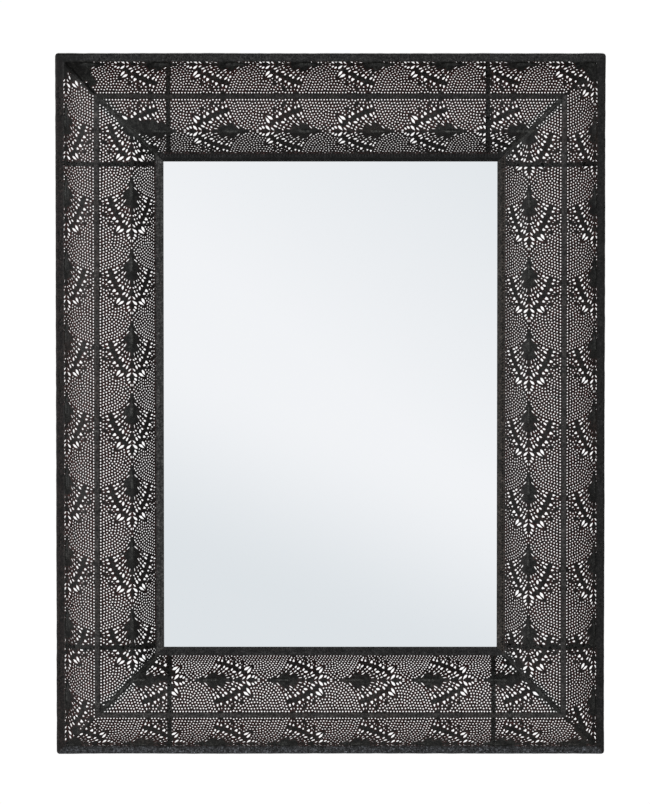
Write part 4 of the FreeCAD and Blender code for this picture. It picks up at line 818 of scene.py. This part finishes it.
def strap_mesh(side):
    """Flat crest bar with rubbed edges, a little uneven from the hammer."""
    half, seed = half_of(side), hash_of(side) + 51
    t0, t1, h0, h1, r = CREST_T - 3.55, CREST_T + 3.55, CREST_H, CREST_H + 2.5, 0.7
    prof = [(t0, h0)]
    for q in range(5):
        th = math.pi / 2 * q / 4
        prof.append((t0 + r * (1 - math.cos(th)), h1 - r * (1 - math.sin(th))))
    prof += [(t0 + 2.2, h1), (CREST_T, h1), (t1 - 2.2, h1)]
    for q in range(5):
        th = math.pi / 2 * (1 - q / 4)
        prof.append((t1 - r * (1 - math.cos(th)), h1 - r * (1 - math.sin(th))))
    prof.append((t1, h0))
    n = int(2 * half / 2.6)
    frac = np.linspace(-1, 1, n + 1)
    out = []
    for t, h in prof:
        a = frac * (half - t)
        ease = step(half - CREST_T - np.abs(a), 0, 9)
        sway = 0.3 * field(a, 0 * a, 120, seed, 2) * ease
        grow = 0.16 * field(a, 0 * a + t * 2.0, 16, seed + 1) * ease * (1 if abs(t - CREST_T) > 3 else 0)
        down = -0.16 - 0.16 * field(a, 0 * a + t * 1.3, 13, seed + 2)
        high = h + (down if h > h0 + 0.5 else 0 * a)
        out.append(place(side, t + sway + np.sign(t - CREST_T) * grow, high, a))
    xyz = np.concatenate(out)
    k, m = len(prof), n + 1
    faces = [[r_ * m + i, ((r_ + 1) % k) * m + i, ((r_ + 1) % k) * m + i + 1, r_ * m + i + 1]
             for r_ in range(k) for i in range(n)]
    faces += [[r_ * m for r_ in range(k)], [r_ * m + n for r_ in range(k)]]
    return solid("strap_" + side, xyz, faces, math.radians(50))


def front_height(panel, t):
    p = SECTION[panel].p
    if panel == "outer":
        keep_ = p[:, 1] > 19.0
        return np.interp(t, p[keep_, 0], p[keep_, 1])
    return np.interp(t, p[:, 0], p[:, 1])


# solder along the mitres: corner signs in x and z, then panel, half widths and thicknesses from the
# crest end to the far end, in millimetres
SEAMS = [
    (-1, 1, "inner", (5.0, 3.2, 4.2, 2.4, 1.6), (1.0, 0.8, 1.0, 0.6, 0.45)),
    (1, 1, "inner", (1.6, 2.9, 3.2, 1.1, 0.7), (0.6, 0.9, 0.9, 0.45, 0.3)),
    (-1, -1, "inner", (2.2, 2.5, 2.2, 1.0, 0.8), (0.9, 0.9, 0.8, 0.4, 0.3)),
    (1, -1, "inner", (1.8, 1.2, 2.3, 1.2, 0.9), (0.7, 0.5, 0.8, 0.4, 0.3)),
    (-1, 1, "outer", (3.0, 3.2, 4.4), (0.4, 0.35, 0.4)), (1, 1, "outer", (1.0, 0.9, 1.8), (0.3, 0.22, 0.3)),
    (-1, -1, "outer", (1.0, 0.8, 1.2), (0.3, 0.22, 0.25)), (1, -1, "outer", (1.0, 0.8, 1.3), (0.3, 0.22, 0.25)),
]


def seam_mesh(sx, sz, panel, wide, thick):
    seed = 900 + (sx + 1) * 7 + (sz + 1) * 3 + (0 if panel == "inner" else 50)
    lo, hi = (CREST_T + 3.2, 152.0) if panel == "inner" else (CREST_T - 3.2, 14.5)
    n = int(abs(hi - lo) / 0.75)
    s_ = np.linspace(lo, hi, n + 1)
    f = np.linspace(0, 1, n + 1)
    ends = step(f, 0, 0.02) * (1 - step(f, 0.97, 1.0)) * 0.7 + 0.3
    knots = [0, 0.22, 1] if len(wide) == 3 else [0, 0.12, 0.42, 0.56, 1]
    half_w = np.interp(f, knots, wide) * (1 + 0.42 * field(s_, 0 * s_, 13, seed)) * ends
    t_max = np.interp(f, knots, thick)
    cols = np.linspace(-1, 1, 13)
    c = half_w[:, None] * cols[None, :]
    c = c + 0.25 * field(s_, 0 * s_ + 5, 9, seed + 1)[:, None] * (1 - np.abs(cols))[None, :]
    s2 = np.broadcast_to(s_[:, None], c.shape)
    t = s2 - np.abs(c) / math.sqrt(2)
    h = front_height(panel, t)
    bead = np.clip(1 - cols ** 2, 0, 1)[None, :] ** 0.7
    lumps = 1 + 1.2 * field(s2, c * 1.3, 9, seed + 2) + 0.5 * field(s2, c, 3.0, seed + 3)
    rise = t_max[:, None] * bead * np.clip(lumps, 0.0, 2.4)
    top = h + rise - 0.12 - 0.25 * (1 - bead)
    low = h - 0.62
    x = sx * (HALF_X - (s2 + c / math.sqrt(2)))
    z = sz * (HALF_Z - (s2 - c / math.sqrt(2)))
    rows_, m = [], len(cols)
    up = np.stack([x, -top, z], -1).reshape(-1, 3) * 0.001
    down = np.stack([x, -low, z], -1).reshape(-1, 3) * 0.001
    xyz = np.concatenate([up, down])
    base = len(up)
    faces = []
    for i in range(n):
        for j in range(m - 1):
            q = [i * m + j, i * m + j + 1, (i + 1) * m + j + 1, (i + 1) * m + j]
            faces += [q, [v + base for v in q][::-1]]
    ring = [j for j in range(m)] + [i * m + m - 1 for i in range(1, n + 1)]
    ring += [n * m + j for j in range(m - 2, -1, -1)] + [i * m for i in range(n - 1, 0, -1)]
    for k in range(len(ring)):
        p_, q_ = ring[k], ring[(k + 1) % len(ring)]
        faces.append([p_, q_, q_ + base, p_ + base])
    name = "solder_%s_%s_%s" % (panel, "top" if sz > 0 else "bottom", "right" if sx > 0 else "left")
    return solid(name, xyz, faces, math.radians(60))


# ------------------------------------------------------------------ materials
def new_material(name):
    m = bpy.data.materials.new(name)
    m.use_nodes = True
    nt = m.node_tree
    nt.nodes.clear()
    out = nt.nodes.new("ShaderNodeOutputMaterial")
    bsdf = nt.nodes.new("ShaderNodeBsdfPrincipled")
    nt.links.new(bsdf.outputs[0], out.inputs[0])
    return m, nt, bsdf


def node(nt, kind, **props):
    n = nt.nodes.new(kind)
    for k, v in props.items():
        setattr(n, k, v)
    return n


def coords(nt):
    return node(nt, "ShaderNodeTexCoord").outputs["Object"]


def noise(nt, vec, scale, detail=4.0, rough=0.55, distort=0.0):
    n = node(nt, "ShaderNodeTexNoise")
    n.inputs["Scale"].default_value = scale
    n.inputs["Detail"].default_value = detail
    n.inputs["Roughness"].default_value = rough
    n.inputs["Distortion"].default_value = distort
    nt.links.new(vec, n.inputs["Vector"])
    return n.outputs["Fac"]


def ramp(nt, fac, stops):
    n = node(nt, "ShaderNodeValToRGB")
    cr = n.color_ramp
    while len(cr.elements) > 1:
        cr.elements.remove(cr.elements[-1])
    cr.elements[0].position = stops[0][0]
    cr.elements[0].color = stops[0][1]
    for pos, col in stops[1:]:
        e = cr.elements.new(pos)
        e.color = col
    nt.links.new(fac, n.inputs[0])
    return n.outputs[0]


def grey(v, a=1.0):
    return (v, v, v, a)


def mix(nt, fac, a, b, kind="MIX"):
    n = node(nt, "ShaderNodeMix", data_type="RGBA", blend_type=kind)
    for sock, val in ((n.inputs[0], fac), (n.inputs[6], a), (n.inputs[7], b)):
        if hasattr(val, "is_output"):
            nt.links.new(val, sock)
        else:
            sock.default_value = val
    return n.outputs[2]


def math_node(nt, op, a, b=0.5):
    n = node(nt, "ShaderNodeMath", operation=op)
    for sock, val in ((n.inputs[0], a), (n.inputs[1], b)):
        if hasattr(val, "is_output"):
            nt.links.new(val, sock)
        else:
            sock.default_value = val
    return n.outputs[0]


def bump(nt, height, strength, distance, normal=None):
    n = node(nt, "ShaderNodeBump")
    n.inputs["Strength"].default_value = strength
    n.inputs["Distance"].default_value = distance
    nt.links.new(height, n.inputs["Height"])
    if normal is not None:
        nt.links.new(normal, n.inputs["Normal"])
    return n.outputs[0]


def attribute(nt, name):
    return node(nt, "ShaderNodeAttribute", attribute_name=name).outputs["Fac"]


def paint(name, dark, light, warm, rough, wear=0.5, speckle=0.5, warm_cut=(0.52, 0.72), spec=0.3, lap=None,
          mottle=0.8):
    """Hand-painted black metal: mottled tone, a brown undertone in patches, fine grit, rubbed light spots.

    lap = (dark, light, speckle colour, share) for the plain edge over the rail, where the sheet carries one."""
    m, nt, b = new_material(name)
    vec = coords(nt)
    broad = noise(nt, vec, 14.0, 5.0, 0.6, 0.4)
    patch = noise(nt, vec, 55.0, 4.0, 0.65, 0.8)
    fine = noise(nt, vec, 420.0, 3.0, 0.6)
    grit = noise(nt, vec, 1500.0, 2.0, 0.5)
    tone = mix(nt, ramp(nt, patch, [(0.35, grey(0)), (0.68, grey(1))]), dark, light)
    tone = mix(nt, math_node(nt, "MULTIPLY", ramp(nt, broad, [(warm_cut[0], grey(0)), (warm_cut[1], grey(1))]), 0.75), tone, warm)
    spots = ramp(nt, fine, [(0.58, grey(0)), (0.72, grey(1))])
    spots = math_node(nt, "MULTIPLY", spots, 0.35 * speckle)
    tone = mix(nt, spots, tone, (light[0] * 2.6, light[1] * 2.7, light[2] * 2.8, 1))
    rub = math_node(nt, "MULTIPLY", ramp(nt, patch, [(0.62, grey(0)), (0.8, grey(1))]), 0.4 * wear)
    tone = mix(nt, rub, tone, (light[0] * 2.2, light[1] * 2.25, light[2] * 2.2, 1))
    if lap is not None:
        rim_tone = mix(nt, ramp(nt, patch, [(0.38, grey(0)), (0.62, grey(1))]), lap[0], lap[1])
        # light speckle on the plain edge: grit in the paint, and on the bottom outer edge a bluish painted highlight
        lap_grit_and_sheen = math_node(nt, "MULTIPLY", ramp(nt, fine, [(0.5, grey(0)), (0.66, grey(1))]), lap[3])
        rim_tone = mix(nt, lap_grit_and_sheen, rim_tone, lap[2])
        # hole_edge: a warm rim round each open hole, partly a brown undertone on the cut edges and partly painted light
        # glowing through from behind
        tone = mix(nt, math_node(nt, "MULTIPLY", attribute(nt, "hole_edge"), 0.8), tone, (0.038, 0.0112, 0.0094, 1))
        tone = mix(nt, attribute(nt, "lap"), tone, rim_tone)
        # steep: painted shade, near black on the steep inner slopes; on the outer sheet the same mix darkens the top
        # left corner
        tone = mix(nt, math_node(nt, "MULTIPLY", attribute(nt, "steep"), 0.72), tone, (0.0035, 0.0028, 0.0027, 1))
        tone = mix(nt, math_node(nt, "MULTIPLY", attribute(nt, "smear"), 0.75), tone, (0.034, 0.0345, 0.0315, 1))
        # crown: lighter paint on the drops' ridges, partly rubbed thin and partly a painted highlight
        tone = mix(nt, math_node(nt, "MULTIPLY", attribute(nt, "crown"), 0.85), tone, (0.058, 0.059, 0.055, 1))
        # pit: near black in the sunk middles of the blind dimples, painted shade in the recesses
        tone = mix(nt, math_node(nt, "MULTIPLY", attribute(nt, "pit"), 0.9), tone, (0.003, 0.0028, 0.0027, 1))
    grain = noise(nt, vec, 260.0, 3.0, 0.6)
    tone = mix(nt, 1.0, tone, ramp(nt, grain, [(0.32, grey(1 - mottle)), (0.5, grey(1.0)), (0.68, grey(1 + 1.25 * mottle))]), "MULTIPLY")
    sand = noise(nt, vec, 640.0, 2.0, 0.5)
    tone = mix(nt, 1.0, tone, ramp(nt, sand, [(0.34, grey(1 - 0.95 * mottle)), (0.5, grey(1.0)), (0.66, grey(1 + 1.2 * mottle))]), "MULTIPLY")
    nt.links.new(tone, b.inputs["Base Color"])
    r = ramp(nt, patch, [(0.3, grey(rough + 0.12)), (0.7, grey(rough - 0.08))])
    nt.links.new(r, b.inputs["Roughness"])
    n0 = bump(nt, grain, 0.45, 0.0007)
    n1 = bump(nt, fine, 0.5, 0.0005, n0)
    n2 = bump(nt, grit, 0.2, 0.00015, n1)
    nt.links.new(n2, b.inputs["Normal"])
    b.inputs["Specular IOR Level"].default_value = spec
    return m


# The edge tones by member are lit and shaded copies of one paint: painted shade on the near-black top inner edge,
# painted light on the left and right inner edges and on the bottom outer edge, whose bluish light tone and strong
# speckle are a painted highlight.
LAPS = {
    ("left", "outer"): ((0.0080, 0.0053, 0.0046, 1), (0.0166, 0.0118, 0.0104, 1), (0.0400, 0.0320, 0.0290, 1), 0.35),
    ("right", "outer"): ((0.006, 0.0052, 0.0048, 1), (0.013, 0.0116, 0.0110, 1), (0.034, 0.032, 0.030, 1), 0.3),
    ("top", "outer"): ((0.0144, 0.0138, 0.0130, 1), (0.0276, 0.0269, 0.0254, 1), (0.0624, 0.0600, 0.0576, 1), 0.45),
    ("bottom", "outer"): ((0.0225, 0.0225, 0.0235, 1), (0.0475, 0.0485, 0.0525, 1), (0.1500, 0.1590, 0.1800, 1), 0.65),
    ("left", "inner"): ((0.0275, 0.0258, 0.0247, 1), (0.0580, 0.0551, 0.0529, 1), (0.1087, 0.1044, 0.1001, 1), 0.5),
    ("right", "inner"): ((0.0296, 0.0245, 0.0210, 1), (0.0608, 0.0507, 0.0435, 1), (0.1123, 0.0960, 0.0810, 1), 0.5),
    ("top", "inner"): ((0.0042, 0.0039, 0.0038, 1), (0.0110, 0.0103, 0.0101, 1), (0.0300, 0.0282, 0.0276, 1), 0.3),
    ("bottom", "inner"): ((0.0105, 0.0099, 0.0098, 1), (0.0268, 0.0256, 0.0254, 1), (0.053, 0.050, 0.049, 1), 0.45),
}
# painted light and shade by panel: the left outer sheet darkened, the bottom inner sheet lightened
SHADE = {("left", "outer"): 0.74, ("bottom", "inner"): 1.35}


def shade(key, colour):
    k = SHADE.get(key, 1.0)
    return (colour[0] * k, colour[1] * k, colour[2] * k, 1)


SHEETS = {key: paint("pierced_sheet_paint_%s_%s" % key, shade(key, (0.0050, 0.0048, 0.0043)),
                     shade(key, (0.0230, 0.0230, 0.0212)), shade(key, (0.022, 0.0150, 0.0125)),
                     0.42, 0.6, 0.7, (0.54, 0.72), 0.28, lap) for key, lap in LAPS.items()}
sheet_paint = SHEETS[("top", "outer")]
rail_paint = paint("rail_paint", (0.007, 0.0066, 0.0064, 1), (0.019, 0.0182, 0.0178, 1), (0.016, 0.011, 0.009, 1), 0.46, 0.7, 0.9, spec=0.3)
# inner rails by member are lit and shaded copies of one paint: painted light on the left, right and bottom rails,
# painted shade on the near-black top rail
left_rail_paint = paint("left_rail_paint", (0.026, 0.0255, 0.0245, 1), (0.056, 0.0545, 0.0525, 1), (0.046, 0.040, 0.036, 1), 0.46, 0.9, 0.9, spec=0.3)
right_rail_paint = paint("right_rail_paint", (0.026, 0.0235, 0.0210, 1), (0.057, 0.0500, 0.0445, 1), (0.047, 0.036, 0.030, 1), 0.46, 0.9, 0.9, spec=0.3)
top_rail_paint = paint("top_rail_paint", (0.0033, 0.0032, 0.0031, 1), (0.0090, 0.0087, 0.0085, 1), (0.0078, 0.0065, 0.0058, 1), 0.5, 0.6, 0.6, spec=0.2)
low_rail_paint = paint("low_rail_paint", (0.0115, 0.0110, 0.0108, 1), (0.029, 0.0280, 0.0275, 1), (0.024, 0.0185, 0.016, 1), 0.46, 0.8, 0.9, spec=0.3)
strap_paint = paint("strap_paint", (0.0205, 0.0188, 0.0178, 1), (0.052, 0.0478, 0.0455, 1), (0.042, 0.0325, 0.0290, 1), 0.44, 1.3, 1.0, (0.48, 0.66), 0.35, mottle=0.75)
# the top strap gets a darker copy of the strap paint: painted shade
top_strap_paint = paint("top_strap_paint", (0.009, 0.0083, 0.0077, 1), (0.025, 0.0232, 0.0215, 1), (0.020, 0.0155, 0.0135, 1), 0.46, 1.0, 0.9, (0.48, 0.66), 0.3, mottle=0.82)
# ribs near black: painted shade, the ribs lying in shadow under the sheets
rib_paint = paint("rib_paint", (0.0022, 0.0020, 0.0018, 1), (0.0052, 0.0048, 0.0044, 1), (0.005, 0.0036, 0.003, 1), 0.65, 0.2, 0.3, spec=0.12)
# solder on the inner mitres: its light patches are partly the solder's own grey and partly painted highlight
solder_paint = paint("solder_paint", (0.0038, 0.0038, 0.0034, 1), (0.042, 0.0432, 0.0388, 1), (0.016, 0.0120, 0.0095, 1), 0.36, 1.4, 0.9, (0.5, 0.7), 0.5, mottle=0.65)

corner_paint = paint("corner_paint", (0.0024, 0.0022, 0.0020, 1), (0.0066, 0.0064, 0.0058, 1), (0.006, 0.0044, 0.0036, 1), 0.55, 0.5, 0.5, (0.5, 0.7), 0.15, mottle=0.6)
dark_solder_paint = paint("dark_solder_paint", (0.0035, 0.0033, 0.003, 1), (0.0125, 0.0122, 0.0112, 1), (0.010, 0.0072, 0.006, 1), 0.45, 1.0, 0.8, (0.5, 0.7), 0.3, mottle=0.6)


def mirror_material():
    m, nt, b = new_material("silvered_glass")
    vec = coords(nt)
    cloud = noise(nt, vec, 3.0, 2.0)
    col = mix(nt, cloud, (0.955, 0.968, 0.975, 1), (0.965, 0.975, 0.98, 1))
    nt.links.new(col, b.inputs["Base Color"])
    b.inputs["Metallic"].default_value = 1.0
    b.inputs["Roughness"].default_value = 0.015
    return m


def board_material():
    m, nt, b = new_material("hardboard")
    vec = coords(nt)
    fibre = noise(nt, vec, 700.0, 5.0, 0.75, 1.2)
    broad = noise(nt, vec, 7.0, 5.0, 0.6, 0.8)
    flecks = noise(nt, vec, 230.0, 4.0, 0.65, 2.5)
    col = mix(nt, ramp(nt, fibre, [(0.36, grey(0)), (0.64, grey(1))]), (0.17, 0.102, 0.056, 1), (0.38, 0.258, 0.152, 1))
    col = mix(nt, ramp(nt, flecks, [(0.60, grey(0)), (0.72, grey(0.75))]), col, (0.095, 0.056, 0.032, 1))
    col = mix(nt, ramp(nt, broad, [(0.40, grey(0)), (0.70, grey(0.3))]), col, (0.15, 0.093, 0.055, 1))
    nt.links.new(col, b.inputs["Base Color"])
    b.inputs["Roughness"].default_value = 0.8
    nt.links.new(bump(nt, fibre, 0.4, 0.0003), b.inputs["Normal"])
    return m


def zinc_material():
    m, nt, b = new_material("zinc_plate")
    vec = coords(nt)
    cell = node(nt, "ShaderNodeTexVoronoi", feature="F1")
    cell.inputs["Scale"].default_value = 320.0
    nt.links.new(vec, cell.inputs["Vector"])
    sep = node(nt, "ShaderNodeSeparateColor")
    nt.links.new(cell.outputs["Color"], sep.inputs[0])
    smear = noise(nt, vec, 120.0, 4.0, 0.6, 0.5)
    col = mix(nt, sep.outputs[0], (0.48, 0.49, 0.49, 1), (0.62, 0.62, 0.60, 1))
    col = mix(nt, math_node(nt, "MULTIPLY", smear, 0.4), col, (0.42, 0.40, 0.34, 1))
    nt.links.new(col, b.inputs["Base Color"])
    b.inputs["Metallic"].default_value = 1.0
    nt.links.new(ramp(nt, smear, [(0.3, grey(0.28)), (0.7, grey(0.45))]), b.inputs["Roughness"])
    nt.links.new(bump(nt, smear, 0.15, 0.0002), b.inputs["Normal"])
    return m


def rubber_material():
    m, nt, b = new_material("bumper_rubber")
    vec = coords(nt)
    n = noise(nt, vec, 700.0, 3.0)
    nt.links.new(mix(nt, n, (0.018, 0.018, 0.018, 1), (0.035, 0.034, 0.033, 1)), b.inputs["Base Color"])
    b.inputs["Roughness"].default_value = 0.75
    nt.links.new(bump(nt, n, 0.3, 0.0002), b.inputs["Normal"])
    return m


MATERIAL = {
    "black_rail": rail_paint, "black_strap": strap_paint, "black_rib": rib_paint, "mirror": mirror_material(),
    "board": board_material(), "zinc": zinc_material(), "bumper": rubber_material(), "pierced_sheet": sheet_paint,
}
SLOT = {s["node"]: s["material_slot"] for s in frame["record"]["subparts"]}
for name, ob in frame["nodes"].items():
    ob.data.materials.clear()
    # the inner rails take their lit and shaded paint copies
    look = {"inner_rail_left": left_rail_paint, "inner_rail_right": right_rail_paint,
            "inner_rail_top": top_rail_paint, "inner_rail_bottom": low_rail_paint}.get(name, MATERIAL[SLOT[name]])
    ob.data.materials.append(look)

for side in SIDES:
    for panel in ("outer", "inner"):
        ob = sheet_mesh(side, panel)
        ob.data.materials.append(SHEETS[(side, panel)])
        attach(ob, "frame")
        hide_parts("%s_sheet_%s" % (panel, side))
    for ob, node_name, slot_name, look in ((rail_mesh(side), "outer_rail_" + side, "black_rail", rail_paint),
                                           (strap_mesh(side), "crest_strap_" + side, "black_strap",
                                            top_strap_paint if side == "top" else strap_paint)):
        ob.data.materials.append(look)
        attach(ob, "frame")
        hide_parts(node_name)
for spec_ in SEAMS:
    ob = seam_mesh(*spec_)
    corner_look = corner_paint if spec_[:2] == (-1, 1) else dark_solder_paint
    ob.data.materials.append(solder_paint if spec_[2] == "inner" else corner_look)
    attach(ob, "frame")

# ------------------------------------------------------------------ floor, light, camera
floor_me = bpy.data.meshes.new("floor")
fz = -0.86
floor_me.from_pydata([(-1.5, -2.2, fz), (1.5, -2.2, fz), (1.5, 1.1, fz), (-1.5, 1.1, fz)], [], [(0, 1, 2, 3)])
floor = bpy.data.objects.new("floor", floor_me)
scene.collection.objects.link(floor)
fm, fnt, fb = new_material("floor_pale")
fvec = coords(fnt)
fnt.links.new(mix(fnt, noise(fnt, fvec, 2.0), (0.80, 0.80, 0.79, 1), (0.84, 0.84, 0.83, 1)), fb.inputs["Base Color"])
fb.inputs["Roughness"].default_value = 0.9
floor_me.materials.append(fm)


DIST, RISE = 14.0, math.radians(5.0)


def studio():
    """Pale room: white behind the object, softer in front, dimmer to the sides."""
    w = bpy.data.worlds.new("studio")
    scene.world = w
    w.use_nodes = True
    nt = w.node_tree
    nt.nodes.clear()
    out = nt.nodes.new("ShaderNodeOutputWorld")
    bg = nt.nodes.new("ShaderNodeBackground")
    nt.links.new(bg.outputs[0], out.inputs[0])
    d = node(nt, "ShaderNodeTexCoord").outputs["Generated"]
    sep = node(nt, "ShaderNodeSeparateXYZ")
    nt.links.new(d, sep.inputs[0])
    x, y, z = sep.outputs[0], sep.outputs[1], sep.outputs[2]

    def smooth(v, lo, hi, out_lo=0.0, out_hi=1.0):
        n = node(nt, "ShaderNodeMapRange", interpolation_type="SMOOTHSTEP")
        n.inputs["From Min"].default_value, n.inputs["From Max"].default_value = lo, hi
        n.inputs["To Min"].default_value, n.inputs["To Max"].default_value = out_lo, out_hi
        nt.links.new(v, n.inputs["Value"])
        return n.outputs[0]

    def linear(v, lo, hi, out_lo, out_hi):
        n = node(nt, "ShaderNodeMapRange")
        n.inputs["From Min"].default_value, n.inputs["From Max"].default_value = lo, hi
        n.inputs["To Min"].default_value, n.inputs["To Max"].default_value = out_lo, out_hi
        nt.links.new(v, n.inputs["Value"])
        return n.outputs[0]

    def scaled(v, k):
        return math_node(nt, "MULTIPLY", v, k)

    side_tone = linear(z, -1.0, 1.0, 0.44, 0.16)
    white = smooth(y, 0.25, 0.75)
    front = smooth(y, -0.78, -0.975)
    # soft card in front: full in a broad slanting band, dimmer low on the left and high on the right
    across, up = scaled(x, DIST), scaled(math_node(nt, "ADD", z, math.sin(RISE)), DIST)
    slant = math_node(nt, "ADD", up, scaled(across, 0.39))
    low = smooth(slant, -0.02, -0.33)
    high = linear(math_node(nt, "ADD", up, scaled(across, 0.8)), 0.06, 0.66, 0.0, 1.0)
    dim = math_node(nt, "MINIMUM", math_node(nt, "ADD", low, scaled(high, 0.9)), 1.0)
    front_tone = math_node(nt, "SUBTRACT", 1.0, dim)

    col_side = node(nt, "ShaderNodeCombineColor")
    for k in range(3):
        nt.links.new(side_tone, col_side.inputs[k])
    col_front = mix(nt, front_tone, (0.757, 0.790, 0.818, 1), (0.920, 0.925, 0.944, 1))
    c = mix(nt, front, col_side.outputs[0], col_front)
    c = mix(nt, white, c, (1.02, 1.02, 1.02, 1))
    nt.links.new(c, bg.inputs["Color"])
    bg.inputs["Strength"].default_value = 1.0


studio()


def area(name, place_at, look_at, size, power, color=(1, 1, 1)):
    data = bpy.data.lights.new(name, "AREA")
    data.shape = "RECTANGLE"
    data.size, data.size_y = size
    data.energy = power
    data.color = color
    ob = bpy.data.objects.new(name, data)
    scene.collection.objects.link(ob)
    ob.location = place_at
    ob.rotation_euler = (Vector(look_at) - Vector(place_at)).to_track_quat("-Z", "Y").to_euler()
    return ob


area("key", (-2.5, -2.5, 1.5), (0, 0, 0), (0.7, 0.7), 20)
area("left", (-2.5, -1.7, -0.1), (0, 0, 0), (0.4, 1.6), 14)
area("fill", (2.4, -1.8, 0.9), (0, 0, 0), (1.4, 1.8), 4)
area("low", (0.3, -1.7, -1.6), (0, 0, -0.3), (2.2, 0.5), 5, (0.86, 0.93, 1.0))
area("back", (1.2, 2.6, 1.6), (0, 0, 0), (1.6, 1.6), 22)

cam_data = bpy.data.cameras.new("camera")
cam = bpy.data.objects.new("camera", cam_data)
scene.collection.objects.link(cam)
scene.camera = cam
aim = (-0.0080, -0.0198, 0.0043)
cam.location = (aim[0], aim[1] - DIST * math.cos(RISE), aim[2] + DIST * math.sin(RISE))
cam.rotation_euler = (math.pi / 2 - RISE, 0, 0)
cam_data.sensor_width = 36.0
cam_data.lens = 36.0 * DIST / (804 * 0.0014847) * 1.0035
cam_data.clip_start, cam_data.clip_end = 0.05, 60.0
scene.view_settings.view_transform = "Standard"
scene.view_settings.look = "None"
